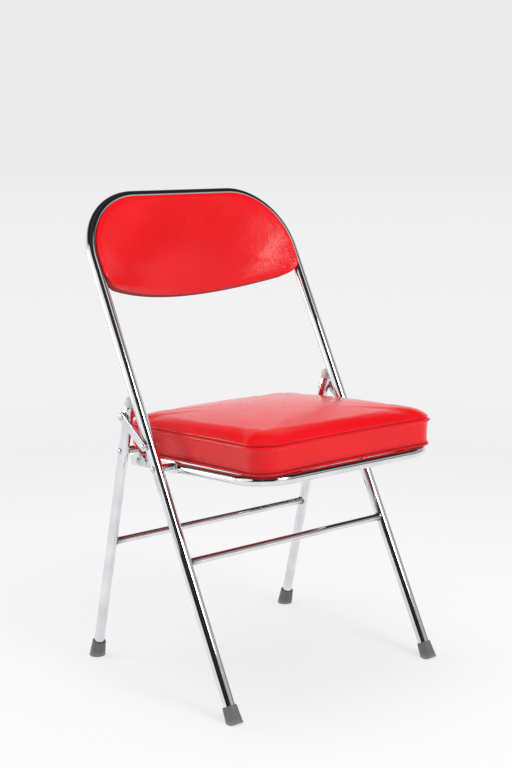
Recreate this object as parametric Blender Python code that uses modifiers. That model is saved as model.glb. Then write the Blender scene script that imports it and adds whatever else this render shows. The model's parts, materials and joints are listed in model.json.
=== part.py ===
"""A folding chair of chromed steel tube with an upholstered seat and back.

Run it with blender --background --python part.py, or from the text editor. Units are metres, +Z is up,
the sitter faces -Y and +X is the sitter's left. One bent tube makes the front legs and the bow of the back.
The seat turns on it at the seat pivot, the rear legs hang on the seat at the rear pivot, and a flat link on
each side ties the top of the rear leg back to the front tube, so the three fold as one linkage.
"""

import math

import bmesh
import bpy
import numpy as np
from mathutils import Matrix, Vector

# Stance of the legs
LEG_SPREAD = 0.427
FOOT_DEPTH = 0.373
FRONT_LEAN = math.radians(27.9)
REAR_LEAN = math.radians(13.5)

# Steel tubes: outer diameters and wall
FRAME_TUBE = 0.019
REAR_TUBE = 0.017
SEAT_TUBE = 0.016
STRETCHER_TUBE = 0.012
TUBE_WALL = 0.0012

# Main frame, measured along the front tube from the floor
BACK_LENGTH = 0.878
BOW_RADIUS = 0.112
FRONT_STRETCHER_UP = 0.253
REAR_STRETCHER_UP = 0.2177

# Folding linkage: pivots along the front tube and along the rear leg
SEAT_PIVOT_UP = 0.408
REAR_PIVOT_UP = 0.3848
LINK_PIVOT_RISE = 0.0617
FOLD_GAP = 0.001
FOLD_SHORT = math.radians(1.5)
STOP_GAP = 0.0005
LINK_WIDTH = 0.015
LINK_THICK = 0.003
WASHER_THICK = 0.0022
WASHER_DIAMETER = 0.014
PLUG_LENGTH = 0.0075
PLUG_TAIL = 0.010

# Rivets and screws
RIVET_SHANK = 0.006
RIVET_HEAD = 0.010
RIVET_HEAD_HEIGHT = 0.002
SPACER_DIAMETER = 0.012
SCREW_SHANK = 0.004
SCREW_HEAD = 0.009
SCREW_HEAD_HEIGHT = 0.0025
SCREW_COVER = 0.001

# Seat frame: distances from the seat pivot along the rails
SEAT_FRONT = 0.2225
SEAT_CORNER = 0.060
SEAT_CORNER_STEPS = 7
SEAT_SIDE_GAP = 0.009
FLAT_THICK = 0.005
FLAT_HEIGHT = 0.020
FLAT_START = 0.011
FLAT_BLEND = 0.018
RAIL_PAST_PIVOT = 0.016
EAR_THICK = 0.003
EAR_RADIUS = 0.007
EAR_FOOT = 0.019
EAR_RIVET_BACK = 0.0075
CROSS_BAR = 0.012
CROSS_BAR_BACK = 0.026
TAB_THICK = 0.002
TAB_WIDTH = 0.020
TAB_LENGTH = 0.022
TAB_SCREW = 0.013
TAB_CORNER = 0.003
SEAT_TAB_X = 0.110

# Seat cushion on its board
CUSHION_FRONT_PAST = 0.002
CUSHION_REAR_INSIDE = 0.006
CUSHION_OVERHANG = 0.003
CUSHION_PAST_RAIL = 0.0487
CUSHION_CORNER = 0.036
CUSHION_BAND = 0.0450
CUSHION_CROWN = 0.021
CUSHION_DRAW = 0.003
PIPING = 0.0038
BOARD_INSET = 0.012
BOARD_THICK = 0.008
BAND_WAIST = 0.0022
BAND_TOP = 0.0012
BAND_SHOULDER = 0.006
CROWN_EDGE = 0.010
CROWN_SHOULDER = 0.024
CROWN_START = 0.66

# Back pad and its shell, set on the inner front of the bow
BACK_HEIGHT = 0.157
BACK_LIP = 0.0038
BACK_CORNER = 0.027
BACK_DISH = 0.074
BACK_PUFF = 0.005
BACK_RIM = 0.003
SHELL_THICK = 0.006
SHELL_GAP = 0.0005
SHELL_EASE = 0.0015
BACK_REAR = -0.001
BACK_ROUND = 0.006
BACK_SHOULDER = 0.030
BACK_TAB_DOWN = 0.024
BACK_TAB_X = 0.045
BACK_TAB_WIDTH = 0.014
BACK_TAB_LIFT = 0.0006
BACK_TAB_IN = 0.026
BACK_SIDE_TAB_DOWN = 0.108

# Rubber feet
FOOT_LENGTH = 0.0295
FOOT_TOP = 0.0225
FOOT_WIDE = 0.027
FOOT_CHAMFER = 0.0022
FOOT_BASE = 0.0115
FOOT_WORN = 0.75
FOOT_EASE = 0.0006

# Clearance between pieces that touch, how far cutters run past a face, and the fineness of round pieces
GAP = 0.0003
CUT_PAST = 0.003
TUBE_RESOLUTION = 6
TURN_STEPS = 14
BOW_STEPS = 10

# Side view of the mechanism: every pivot lies on a tube's axis
UP = Vector((0.0, 0.0, 1.0))
FRONT_FOOT = Vector((0.0, -FOOT_DEPTH / 2, 0.0))
FRONT_UP = Vector((0.0, math.sin(FRONT_LEAN), math.cos(FRONT_LEAN)))
FRONT_BACK = Vector((0.0, math.cos(FRONT_LEAN), -math.sin(FRONT_LEAN)))
REAR_FOOT = Vector((0.0, FOOT_DEPTH / 2, 0.0))
REAR_UP = Vector((0.0, -math.sin(REAR_LEAN), math.cos(REAR_LEAN)))
SEAT_PIVOT = FRONT_FOOT + SEAT_PIVOT_UP * FRONT_UP
REAR_PIVOT = REAR_FOOT + REAR_PIVOT_UP * REAR_UP
LINK_TOP = REAR_PIVOT + LINK_PIVOT_RISE * REAR_UP

# Folded flat, the rear leg lies behind the front tube and the rails lie along it
FOLD_OFFSET = (FRAME_TUBE + REAR_TUBE) / 2 + FOLD_GAP
SPAN = REAR_PIVOT - SEAT_PIVOT
RAIL_REACH = math.sqrt(SPAN.length**2 - FOLD_OFFSET**2)
SEAT_TILT = math.asin(FOLD_OFFSET / SPAN.length) - math.atan2(SPAN.z, SPAN.y)
SEAT_BACK = Vector((0.0, math.cos(SEAT_TILT), -math.sin(SEAT_TILT)))
SEAT_UP = Vector((0.0, math.sin(SEAT_TILT), math.cos(SEAT_TILT)))

# The link's lower pivot is the point of the front tube that is as far from the link's top, open and folded
OPEN_TOP = Vector(((LINK_TOP - SEAT_PIVOT).dot(FRONT_UP), (LINK_TOP - SEAT_PIVOT).dot(FRONT_BACK)))
SHUT_TOP = Vector((LINK_PIVOT_RISE - RAIL_REACH, FOLD_OFFSET))
LINK_UP = (OPEN_TOP.length_squared - SHUT_TOP.length_squared) / (2 * (OPEN_TOP.x - SHUT_TOP.x))
LINK_PIVOT = SEAT_PIVOT + LINK_UP * FRONT_UP

# Where the layers lie, out from the middle plane
LEG_X = LEG_SPREAD / 2
FRAME_OUT = LEG_X + FRAME_TUBE / 2
FRAME_IN = LEG_X - FRAME_TUBE / 2
REAR_OUT = LEG_X + REAR_TUBE / 2
REAR_IN = LEG_X - REAR_TUBE / 2
RAIL_X = FRAME_IN - SEAT_SIDE_GAP - SEAT_TUBE / 2
FLAT_OUT = RAIL_X + FLAT_THICK / 2
FLAT_IN = RAIL_X - FLAT_THICK / 2
EAR_IN = FLAT_OUT + GAP
EAR_OUT = EAR_IN + EAR_THICK
LINK_IN = FRAME_OUT + WASHER_THICK + 2 * GAP
LINK_OUT = LINK_IN + LINK_THICK

# Heights above the rail's axis, and distances behind the seat pivot
BOARD_BOTTOM = SEAT_TUBE / 2 + GAP
TAB_TOP = BOARD_BOTTOM - GAP
TAB_BOTTOM = TAB_TOP - TAB_THICK
CROSS_BAR_AXIS = TAB_BOTTOM - GAP - CROSS_BAR / 2
CROSS_BAR_U = RAIL_REACH - CROSS_BAR_BACK
CUSHION_BACK = RAIL_REACH + CUSHION_PAST_RAIL

# How far inside the bow's axis the body of the back lies, clear of the tube
BACK_INSIDE = FRAME_TUBE / 2 + 2.5 * GAP

# Where the rear leg's tube ends, so that its round plug stops against the front tube
PLUG_CENTRE_UP = (
    FOOT_DEPTH * math.cos(FRONT_LEAN) - (FRAME_TUBE + REAR_TUBE) / 2 - STOP_GAP
) / math.sin(FRONT_LEAN + REAR_LEAN)
REAR_LEG_UP = PLUG_CENTRE_UP - PLUG_LENGTH

SIDES = (("left", 1.0), ("right", -1.0))


def on_front(along, behind=0.0, x=0.0):
    """A point of the main frame: along the front tube from the floor, behind its axis, and out to x."""
    return FRONT_FOOT + FRONT_UP * along + FRONT_BACK * behind + Vector((x, 0.0, 0.0))


def on_rear(along, x=0.0):
    """A point of the rear leg's axis."""
    return REAR_FOOT + REAR_UP * along + Vector((x, 0.0, 0.0))


def on_seat(back, up, x=0.0):
    """A point of the seat: behind the seat pivot along the rails, above the rails' axis, and out to x."""
    return SEAT_PIVOT + SEAT_BACK * back + SEAT_UP * up + Vector((x, 0.0, 0.0))


def across(point, x):
    """The same point of the side view, out to x."""
    return Vector((x, point.y, point.z))


def mirrored(point):
    return Vector((-point.x, point.y, point.z))


# Scene, collections and materials


def clear_scene():
    for obj in list(bpy.data.objects):
        bpy.data.objects.remove(obj, do_unlink=True)


def new_collection(name, hidden=False):
    collection = bpy.data.collections.new(name)
    collection.hide_render = hidden
    bpy.context.scene.collection.children.link(collection)
    return collection


def new_material(name, colour, roughness, metallic=0.0, coat=0.0):
    material = bpy.data.materials.new(name)
    material.use_nodes = True
    shader = material.node_tree.nodes["Principled BSDF"]
    shader.inputs["Base Color"].default_value = (*colour, 1.0)
    shader.inputs["Roughness"].default_value = roughness
    shader.inputs["Metallic"].default_value = metallic
    shader.inputs["Coat Weight"].default_value = coat
    material.diffuse_color = (*colour, 1.0)
    return material


def new_pivot(name, place, parent=None):
    """An empty on a joint's axis, which carries the pieces of one moving body."""
    empty = bpy.data.objects.new(name, None)
    empty.empty_display_size = 0.02
    empty["place"] = tuple(place)
    PARTS.objects.link(empty)
    empty.location = place
    if parent:
        empty.parent = parent
        empty.location = place - Vector(parent["place"])
    return empty


def adopt(obj, parent):
    """Hang a piece modelled in place on its body's empty."""
    obj.parent = parent
    obj.matrix_parent_inverse = Matrix.Translation(-Vector(parent["place"]))


def finish(obj, material, body, crease=35.0):
    """Make a modelled object one of the chair's pieces."""
    PARTS.objects.link(obj)
    obj.data.materials.clear()
    obj.data.materials.append(material)
    obj.data.shade_smooth()
    obj.data.set_sharp_from_angle(angle=math.radians(crease))
    adopt(obj, body)
    return obj


# Modelling tools


def mesh_object(name, shape):
    mesh = bpy.data.meshes.new(name)
    shape.to_mesh(mesh)
    shape.free()
    return bpy.data.objects.new(name, mesh)


def mesh_from_curve(name, curve):
    """The curve's evaluated surface as a mesh object with its caps welded on."""
    drawn = bpy.data.objects.new(name, curve)
    bpy.context.scene.collection.objects.link(drawn)
    bpy.context.view_layer.update()
    evaluated = drawn.evaluated_get(bpy.context.evaluated_depsgraph_get())
    mesh = bpy.data.meshes.new_from_object(evaluated)
    bpy.data.objects.remove(drawn)
    shape = bmesh.new()
    shape.from_mesh(mesh)
    bpy.data.meshes.remove(mesh)
    bmesh.ops.remove_doubles(shape, verts=shape.verts, dist=1e-6)
    bmesh.ops.recalc_face_normals(shape, faces=shape.faces)
    return mesh_object(name, shape)


def hollow(obj):
    """Give an open tube surface its wall, inwards."""
    wall = obj.modifiers.new("wall", "SOLIDIFY")
    wall.thickness = TUBE_WALL
    wall.offset = -1.0
    wall.use_even_offset = True
    wall.use_rim = True


def bent_tube(name, points, diameter, solid=False):
    """A tube along a path of points, hollow with open ends unless it is a solid cutter."""
    curve = bpy.data.curves.new(name, "CURVE")
    curve.dimensions = "3D"
    curve.bevel_depth = diameter / 2
    curve.bevel_resolution = TUBE_RESOLUTION
    curve.use_fill_caps = solid
    spline = curve.splines.new("POLY")
    spline.points.add(len(points) - 1)
    for knot, point in zip(spline.points, points):
        knot.co = (*point, 1.0)
    obj = mesh_from_curve(name, curve)
    if not solid:
        hollow(obj)
    return obj


def plate(name, outline, thick, frame):
    """A flat plate: a closed outline, extruded to its thickness and set in a frame with its normal on Z."""
    curve = bpy.data.curves.new(name, "CURVE")
    curve.dimensions = "2D"
    curve.fill_mode = "BOTH"
    curve.extrude = thick / 2
    spline = curve.splines.new("POLY")
    spline.points.add(len(outline) - 1)
    for knot, (x, y) in zip(spline.points, outline):
        knot.co = (x, y, 0.0, 1.0)
    spline.use_cyclic_u = True
    obj = mesh_from_curve(name, curve)
    obj.data.transform(frame)
    return obj


def turned(name, profile, start, axis, ring=False):
    """A turned piece: a profile of (radius, height) that runs down its outer side, on an axis from start."""
    shape = bmesh.new()
    verts = [shape.verts.new((radius, 0.0, height)) for radius, height in profile]
    for first, second in zip(verts, verts[1:] + verts[:1] if ring else verts[1:]):
        shape.edges.new((first, second))
    obj = mesh_object(name, shape)
    obj.location = start
    obj.rotation_mode = "QUATERNION"
    obj.rotation_quaternion = Vector(axis).to_track_quat("Z", "Y")
    screw = obj.modifiers.new("turn", "SCREW")
    screw.steps = TURN_STEPS
    screw.render_steps = TURN_STEPS
    screw.use_merge_vertices = True
    screw.merge_threshold = 0.00001
    screw.use_smooth_shade = True
    return obj


def loft(rings, capped=True):
    """A surface through rings of equally many points, closed at both ends if capped."""
    shape = bmesh.new()
    loops = [[shape.verts.new(point) for point in ring] for ring in rings]
    for lower, upper in zip(loops, loops[1:]):
        for near, far, far_up, near_up in zip(lower, lower[1:] + lower[:1], upper[1:] + upper[:1], upper):
            shape.faces.new((near, far, far_up, near_up))
    if capped:
        shape.faces.new(reversed(loops[0]))
        shape.faces.new(loops[-1])
    bmesh.ops.recalc_face_normals(shape, faces=shape.faces)
    return shape


def add_rod(shape, start, end, diameter, segments=20):
    """A round rod between two points, added to a shape that will cut."""
    run = end - start
    place = Matrix.Translation((start + end) / 2) @ run.to_track_quat("Z", "Y").to_matrix().to_4x4()
    bmesh.ops.create_cone(
        shape,
        cap_ends=True,
        segments=segments,
        radius1=diameter / 2,
        radius2=diameter / 2,
        depth=run.length,
        matrix=place,
    )


def cutter(name, shape, body):
    """A hidden shape that Booleans take away."""
    obj = shape if isinstance(shape, bpy.types.Object) else mesh_object(name, shape)
    CUTTERS.objects.link(obj)
    obj.hide_render = True
    obj.display_type = "WIRE"
    adopt(obj, body)
    return obj


def drill(name, holes, body):
    """One cutter for several round holes, each a start, an end and a diameter."""
    shape = bmesh.new()
    for start, end, diameter in holes:
        add_rod(shape, start, end, diameter)
    return cutter(name, shape, body)


def cut(obj, tool):
    modifier = obj.modifiers.new(tool.name, "BOOLEAN")
    modifier.operation = "DIFFERENCE"
    modifier.solver = "EXACT"
    modifier.object = tool


def rounded_rectangle(low, high, low_radius, high_radius, draw=0.0, arc_steps=6, side_steps=5):
    """Points anticlockwise round a rectangle with round corners, its straight sides drawn in by an arc."""
    corners = (
        (low[0], low[1], low_radius, math.pi),
        (high[0], low[1], low_radius, 1.5 * math.pi),
        (high[0], high[1], high_radius, 0.0),
        (low[0], high[1], high_radius, 0.5 * math.pi),
    )
    arcs = []
    for x, y, radius, turn in corners:
        angles = turn + np.linspace(0.0, math.pi / 2, arc_steps + 1)
        centre_x = x + math.copysign(radius, -math.cos(turn + math.pi / 4))
        centre_y = y + math.copysign(radius, -math.sin(turn + math.pi / 4))
        xs = centre_x + radius * np.cos(angles)
        ys = centre_y + radius * np.sin(angles)
        arcs.append(np.column_stack((xs, ys)))
    points = []
    share = np.linspace(0.0, 1.0, side_steps + 2)[1:-1, None]
    for arc, following in zip(arcs, arcs[1:] + arcs[:1]):
        run = following[0] - arc[-1]
        inward = np.array((-run[1], run[0])) / np.hypot(*run)
        side = arc[-1] + share * run + draw * 4 * share * (1 - share) * inward
        points += [arc, side]
    return np.vstack(points)


def hull_of_circles(circles, steps=28):
    """The outline of a band drawn tight round some circles, each a centre and a radius."""
    angles = np.linspace(0.0, 2 * math.pi, steps, endpoint=False)
    ways = np.column_stack((np.cos(angles), np.sin(angles)))
    centres = np.array([centre for centre, radius in circles])
    radii = np.array([radius for centre, radius in circles])
    outermost = np.argmax(ways @ centres.T + radii, axis=1)
    return centres[outermost] + radii[outermost, None] * ways


def drawn_to(ring, centre, share):
    """A ring drawn in towards a centre to a share of its size."""
    return centre + share * (ring - centre)


# Rivets, spacers and screws


def rivet_profile(outer, inner, collar=None):
    """A rivet from its outer head's seat down to its inner head's seat, or to a collar below its head."""
    head, shank, height = RIVET_HEAD / 2, RIVET_SHANK / 2, RIVET_HEAD_HEIGHT
    dome = [
        (0.0, outer + height),
        (0.55 * head, outer + 0.86 * height),
        (0.88 * head, outer + 0.5 * height),
        (head, outer),
        (shank, outer),
    ]
    if collar:
        top, bottom = collar
        wide = SPACER_DIAMETER / 2
        return dome + [(shank, top), (wide, top), (wide, bottom), (0.0, bottom)]
    tail = [
        (shank, inner),
        (head, inner),
        (0.8 * head, inner - 0.6 * height),
        (0.45 * head, inner - 0.9 * height),
        (0.0, inner - 0.9 * height),
    ]
    return dome + tail


def add_rivet(name, place, sign, outer, inner, body, collar=None):
    axis = Vector((sign, 0.0, 0.0))
    obj = turned(name, rivet_profile(outer, inner, collar), across(place, 0.0), axis)
    return finish(obj, ZINC, body)


def add_bush(name, place, sign, faces, diameter, body):
    """A ring on a rivet's shank, from an outer to an inner face."""
    outer, inner = faces
    bore = RIVET_SHANK / 2 + GAP
    profile = [(diameter / 2, outer), (diameter / 2, inner), (bore, inner), (bore, outer)]
    obj = turned(name, profile, across(place, 0.0), Vector((sign, 0.0, 0.0)), ring=True)
    return finish(obj, ZINC, body)


def rivet_hole(place, sign, outer, inner):
    """A hole for a rivet's shank, past both faces."""
    start = across(place, sign * (inner - CUT_PAST))
    end = across(place, sign * (outer + CUT_PAST))
    return start, end, RIVET_SHANK + 2 * GAP


def add_screw(name, seat, inward, depth, body):
    """A pan-head screw: its head rests at seat, and its shank goes inward to depth."""
    head, shank, height = SCREW_HEAD / 2, SCREW_SHANK / 2, SCREW_HEAD_HEIGHT
    profile = [
        (0.0, height),
        (0.6 * head, 0.92 * height),
        (0.9 * head, 0.6 * height),
        (head, 0.0),
        (shank, 0.0),
        (shank, 0.6 * shank - depth),
        (0.4 * shank, -depth),
        (0.0, -depth),
    ]
    return finish(turned(name, profile, seat, -inward), ZINC, body)


# Main frame


def bow_path(start):
    """The front tube's axis from the right foot over the bow to the left foot, starting at a length."""
    turn = BACK_LENGTH - BOW_RADIUS
    middle = LEG_X - BOW_RADIUS
    angles = np.linspace(0.0, math.pi / 2, BOW_STEPS + 1)
    left = [on_front(start, x=LEG_X)]
    for angle in angles:
        along = turn + BOW_RADIUS * math.sin(angle)
        left.append(on_front(along, x=middle + BOW_RADIUS * math.cos(angle)))
    right = [mirrored(point) for point in reversed(left)]
    return left + right


def foot_end(lean):
    """How far along the leg the end of its rubber foot lies, for the floor to cut most of that end flat."""
    end_radius = FOOT_WIDE / 2 - FOOT_CHAMFER
    return end_radius * (1 - 2 * FOOT_WORN) * math.tan(lean)


def tube_start(lean):
    return foot_end(lean) + FOOT_BASE + GAP


def build_main_frame(body):
    frame = bent_tube("main_frame_tube", bow_path(tube_start(FRONT_LEAN)), FRAME_TUBE)
    holes = []
    for _, sign in SIDES:
        for place in (SEAT_PIVOT, LINK_PIVOT):
            holes.append(rivet_hole(place, sign, FRAME_OUT, FRAME_IN))
    cut(frame, drill("frame_holes", holes, body))
    finish(frame, CHROME, body)

    shape = bmesh.new()
    for _, sign in SIDES:
        low, high = on_front(0.0, x=sign * LEG_X), on_front(BACK_LENGTH, x=sign * LEG_X)
        add_rod(shape, low, high, FRAME_TUBE + 2 * GAP)
    legs = cutter("front_leg_seats", shape, body)
    ends = [on_front(FRONT_STRETCHER_UP, x=sign * LEG_X) for _, sign in SIDES]
    stretcher = bent_tube("front_stretcher", ends, STRETCHER_TUBE)
    cut(stretcher, legs)
    finish(stretcher, CHROME, body)


def build_front_rivets(body):
    """The seat pivots and the links' lower pivots, both through the front tube."""
    for side, sign in SIDES:
        add_rivet(f"seat_pivot_rivet_{side}", SEAT_PIVOT, sign, FRAME_OUT + GAP, FLAT_IN - GAP, body)
        faces = (FRAME_IN - GAP, FLAT_OUT + GAP)
        add_bush(f"seat_pivot_spacer_{side}", SEAT_PIVOT, sign, faces, SPACER_DIAMETER, body)
        add_rivet(f"link_pivot_rivet_{side}", LINK_PIVOT, sign, LINK_OUT + GAP, FRAME_IN - GAP, body)
        faces = (LINK_IN - GAP, FRAME_OUT + GAP)
        add_bush(f"link_pivot_washer_{side}", LINK_PIVOT, sign, faces, WASHER_DIAMETER, body)


# Feet


def build_feet(legs, floor):
    """A rubber cup on each leg, worn flat where the leaning end meets the floor."""
    for row, base, up, lean, tube, body in legs:
        bore = tube / 2 + GAP
        wide = FOOT_WIDE / 2
        profile = [
            (0.0, FOOT_BASE),
            (bore, FOOT_BASE),
            (bore, FOOT_LENGTH),
            (FOOT_TOP / 2 - FOOT_EASE, FOOT_LENGTH),
            (FOOT_TOP / 2, FOOT_LENGTH - 2 * FOOT_EASE),
            (wide - 2 * FOOT_EASE, 0.45 * FOOT_LENGTH),
            (wide, 0.2 * FOOT_LENGTH),
            (wide, FOOT_CHAMFER),
            (wide - FOOT_CHAMFER, 0.0),
            (0.0, 0.0),
        ]
        for side, sign in SIDES:
            start = base + foot_end(lean) * up + Vector((sign * LEG_X, 0.0, 0.0))
            foot = turned(f"{row}_foot_{side}", profile, start, up)
            cut(foot, floor)
            finish(foot, RUBBER, body)


# Seat


def rail_section(back):
    """Half thickness, half height and squareness of the seat tube, round in front and flat at the pivots."""
    blend = min(max((back + FLAT_START + FLAT_BLEND) / FLAT_BLEND, 0.0), 1.0)
    blend = blend * blend * (3 - 2 * blend)
    thick = (1 - blend) * SEAT_TUBE / 2 + blend * FLAT_THICK / 2
    high = (1 - blend) * SEAT_TUBE / 2 + blend * FLAT_HEIGHT / 2
    return thick, high, 2 + 2.5 * blend


def seat_path():
    """The seat tube's axis from above, as (x, back) with the outward way, from left rear to right rear."""
    corner_back = SEAT_CORNER - SEAT_FRONT
    corner_x = RAIL_X - SEAT_CORNER
    straight = [RAIL_REACH + RAIL_PAST_PIVOT, FLAT_START, -FLAT_START]
    straight += [-FLAT_START - share * FLAT_BLEND for share in (0.2, 0.4, 0.6, 0.8, 1.0)]
    left = [((RAIL_X, back), (1.0, 0.0)) for back in straight]
    for angle in np.linspace(0.0, math.pi / 2, SEAT_CORNER_STEPS + 1):
        way = (math.cos(angle), -math.sin(angle))
        left.append(((corner_x + SEAT_CORNER * way[0], corner_back + SEAT_CORNER * way[1]), way))
    right = [((-x, back), (-way[0], way[1])) for (x, back), way in reversed(left)]
    return left + right


def build_seat_frame(body):
    angles = np.linspace(0.0, 2 * math.pi, 4 + 2 * TUBE_RESOLUTION, endpoint=False)
    rings = []
    for (x, back), way in seat_path():
        thick, high, square = rail_section(back)
        ring = []
        for angle in angles:
            side, rise = math.cos(angle), math.sin(angle)
            out = thick * math.copysign(abs(side) ** (2 / square), side)
            up = high * math.copysign(abs(rise) ** (2 / square), rise)
            ring.append(on_seat(back + out * way[1], up, x + out * way[0]))
        rings.append(ring)
    rail = mesh_object("seat_frame_tube", loft(rings, capped=False))
    hollow(rail)
    holes = []
    for _, sign in SIDES:
        for place in (SEAT_PIVOT, on_seat(RAIL_REACH - EAR_RIVET_BACK, 0.0)):
            holes.append(rivet_hole(place, sign, FLAT_OUT, FLAT_IN))
    cut(rail, drill("rail_holes", holes, body))
    finish(rail, CHROME, body)

    end = FLAT_IN - GAP
    ends = [on_seat(CROSS_BAR_U, CROSS_BAR_AXIS, sign * end) for _, sign in SIDES]
    finish(bent_tube("seat_cross_bar", ends, CROSS_BAR), CHROME, body)


def seat_plate_frame(x):
    """A frame in the seat's side plane: X back along the rails, Y up, and the origin on the seat pivot."""
    place = across(SEAT_PIVOT, x)
    return Matrix((
        (0.0, 0.0, 1.0, place.x),
        (SEAT_BACK.y, SEAT_UP.y, 0.0, place.y),
        (SEAT_BACK.z, SEAT_UP.z, 0.0, place.z),
        (0.0, 0.0, 0.0, 1.0),
    ))


def build_seat_ears(body):
    """The plates on the rails' flat ends that lift the rear pivots behind the rear legs' fold."""
    low = 0.85 * FLAT_HEIGHT / 2
    outline = hull_of_circles((
        ((RAIL_REACH, FOLD_OFFSET), EAR_RADIUS),
        ((RAIL_REACH - EAR_FOOT, 0.0), low),
        ((RAIL_REACH - EAR_RIVET_BACK, 0.0), low),
    ))
    join = on_seat(RAIL_REACH - EAR_RIVET_BACK, 0.0)
    for side, sign in SIDES:
        middle = sign * (EAR_IN + EAR_OUT) / 2
        ear = plate(f"seat_ear_{side}", outline, EAR_THICK, seat_plate_frame(middle))
        holes = [rivet_hole(place, sign, EAR_OUT, EAR_IN) for place in (REAR_PIVOT, join)]
        cut(ear, drill(f"ear_holes_{side}", holes, body))
        finish(ear, CHROME, body)
        add_rivet(f"seat_ear_rivet_{side}", join, sign, EAR_OUT + GAP, FLAT_IN - GAP, body)
        add_rivet(f"rear_pivot_rivet_{side}", REAR_PIVOT, sign, REAR_OUT + GAP, EAR_IN - GAP, body)
        faces = (REAR_IN - GAP, EAR_OUT + GAP)
        add_bush(f"rear_pivot_spacer_{side}", REAR_PIVOT, sign, faces, SPACER_DIAMETER, body)


def seat_outline(inset, draw=CUSHION_DRAW):
    """The cushion's outline as (x, back): narrower at the rear, made smaller by an inset, sides drawn in."""
    front = -SEAT_FRONT - CUSHION_OVERHANG
    front_half = RAIL_X + CUSHION_FRONT_PAST
    rear_half = RAIL_X - CUSHION_REAR_INSIDE
    half = front_half - inset
    radius = max(CUSHION_CORNER - inset, 0.3 * CUSHION_CORNER)
    outline = rounded_rectangle((-half, front + inset), (half, CUSHION_BACK - inset), radius, radius, draw)
    rearward = (outline[:, 1] - front) / (CUSHION_BACK - front)
    outline[:, 0] *= 1 - rearward * (front_half - rear_half) / front_half
    return outline


def seat_ring(outline, up):
    return [on_seat(back, up, x) for x, back in outline]


def build_cushion(body):
    """A crowned cushion with drawn-in sides, piped at its lower edge, hollow below for its board."""
    low = BOARD_BOTTOM
    seam = low + CUSHION_BAND
    recess = low + BOARD_THICK + GAP
    centre = np.array((0.0, (CUSHION_BACK - SEAT_FRONT - CUSHION_OVERHANG) / 2))
    wall = seat_outline(BOARD_INSET - GAP, draw=0.0)
    rings = [seat_ring(drawn_to(wall, centre, share), recess) for share in (0.15, 1.0)]
    rings.append(seat_ring(wall, low))
    band = (
        (0.45 * PIPING, low),
        (-0.2 * PIPING, low + 0.3 * PIPING),
        (-0.2 * PIPING, low + 0.7 * PIPING),
        (0.3 * PIPING, low + 1.1 * PIPING),
        (BAND_WAIST, low + 0.45 * CUSHION_BAND),
        (BAND_TOP, seam - BAND_SHOULDER),
        (1.5 * BAND_TOP, seam),
        (2.6 * BAND_TOP, seam + 0.19 * CUSHION_CROWN),
        (CROWN_EDGE, seam + 0.44 * CUSHION_CROWN),
        (CROWN_SHOULDER, seam + CROWN_START * CUSHION_CROWN),
    )
    for inset, up in band:
        rings.append(seat_ring(seat_outline(inset), up))
    shoulder = seat_outline(band[-1][0])
    for share in (0.88, 0.70, 0.48, 0.28, 0.10):
        up = seam + CUSHION_CROWN * (CROWN_START + (1 - CROWN_START) * (1 - share**2))
        rings.append(seat_ring(drawn_to(shoulder, centre, share), up))
    finish(mesh_object("seat_cushion", loft(rings)), VINYL, body, crease=60.0)


def build_seat_board(body):
    """The board that carries the foam, covered below in the same vinyl."""
    top = BOARD_BOTTOM + BOARD_THICK
    outline = seat_outline(BOARD_INSET, draw=0.0)
    board = mesh_object("seat_board", loft([seat_ring(outline, BOARD_BOTTOM), seat_ring(outline, top)]))
    holes = []
    for row, facing, edge in seat_tabs():
        for side, sign in SIDES:
            hole = on_seat(edge + facing * TAB_SCREW, 0.0, sign * SEAT_TAB_X)
            start = hole + (BOARD_BOTTOM - CUT_PAST) * SEAT_UP
            holes.append((start, hole + (top - SCREW_COVER / 2) * SEAT_UP, SCREW_SHANK + 2 * GAP))
            add_seat_tab(f"seat_tab_{row}_{side}", edge, facing, sign, body)
            depth = BOARD_THICK + TAB_THICK - 1.5 * SCREW_COVER
            add_screw(f"seat_screw_{row}_{side}", hole + (TAB_BOTTOM - GAP) * SEAT_UP, SEAT_UP, depth, body)
    cut(board, drill("board_holes", holes, body))
    finish(board, VINYL_BACK, body)


def seat_tabs():
    """The tabs on the front bar and on the cross bar: name, way to the seat's middle, and outer edge."""
    reach = math.sqrt((SEAT_TUBE / 2 + GAP) ** 2 - TAB_BOTTOM**2)
    return (("front", 1.0, reach - SEAT_FRONT), ("rear", -1.0, CROSS_BAR_U + CROSS_BAR / 4))


def tab_outline(wide, long):
    low, high = (-wide / 2, -long / 2), (wide / 2, long / 2)
    return rounded_rectangle(low, high, TAB_CORNER, TAB_CORNER, arc_steps=3, side_steps=0)


def add_seat_tab(name, edge, facing, sign, body):
    middle_u = edge + facing * TAB_LENGTH / 2
    place = on_seat(middle_u, (TAB_TOP + TAB_BOTTOM) / 2, sign * SEAT_TAB_X)
    frame = Matrix.Translation(place) @ Matrix.Rotation(-SEAT_TILT, 4, "X")
    tab = plate(name, tab_outline(TAB_WIDTH, TAB_LENGTH), TAB_THICK, frame)
    hole = on_seat(edge + facing * TAB_SCREW, 0.0, sign * SEAT_TAB_X)
    ends = (hole + (TAB_BOTTOM - CUT_PAST) * SEAT_UP, hole + (TAB_TOP + CUT_PAST) * SEAT_UP)
    cut(tab, drill(name + "_hole", [(*ends, SCREW_SHANK + 2 * GAP)], body))
    return finish(tab, CHROME, body)


# Back


def dish(x, along):
    """How far the back is set back from the bow's plane: nothing at the tube, most at the middle below."""
    past_turn = max(along - (BACK_LENGTH - BOW_RADIUS), 0.0)
    half = LEG_X - BOW_RADIUS + math.sqrt(max((BOW_RADIUS - BACK_INSIDE) ** 2 - past_turn**2, 0.0))
    fall = (BACK_LENGTH - BACK_INSIDE - along) / BACK_HEIGHT
    return BACK_DISH * max(fall, 0.0) * max(1 - (x / half) ** 2, 0.0)


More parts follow.
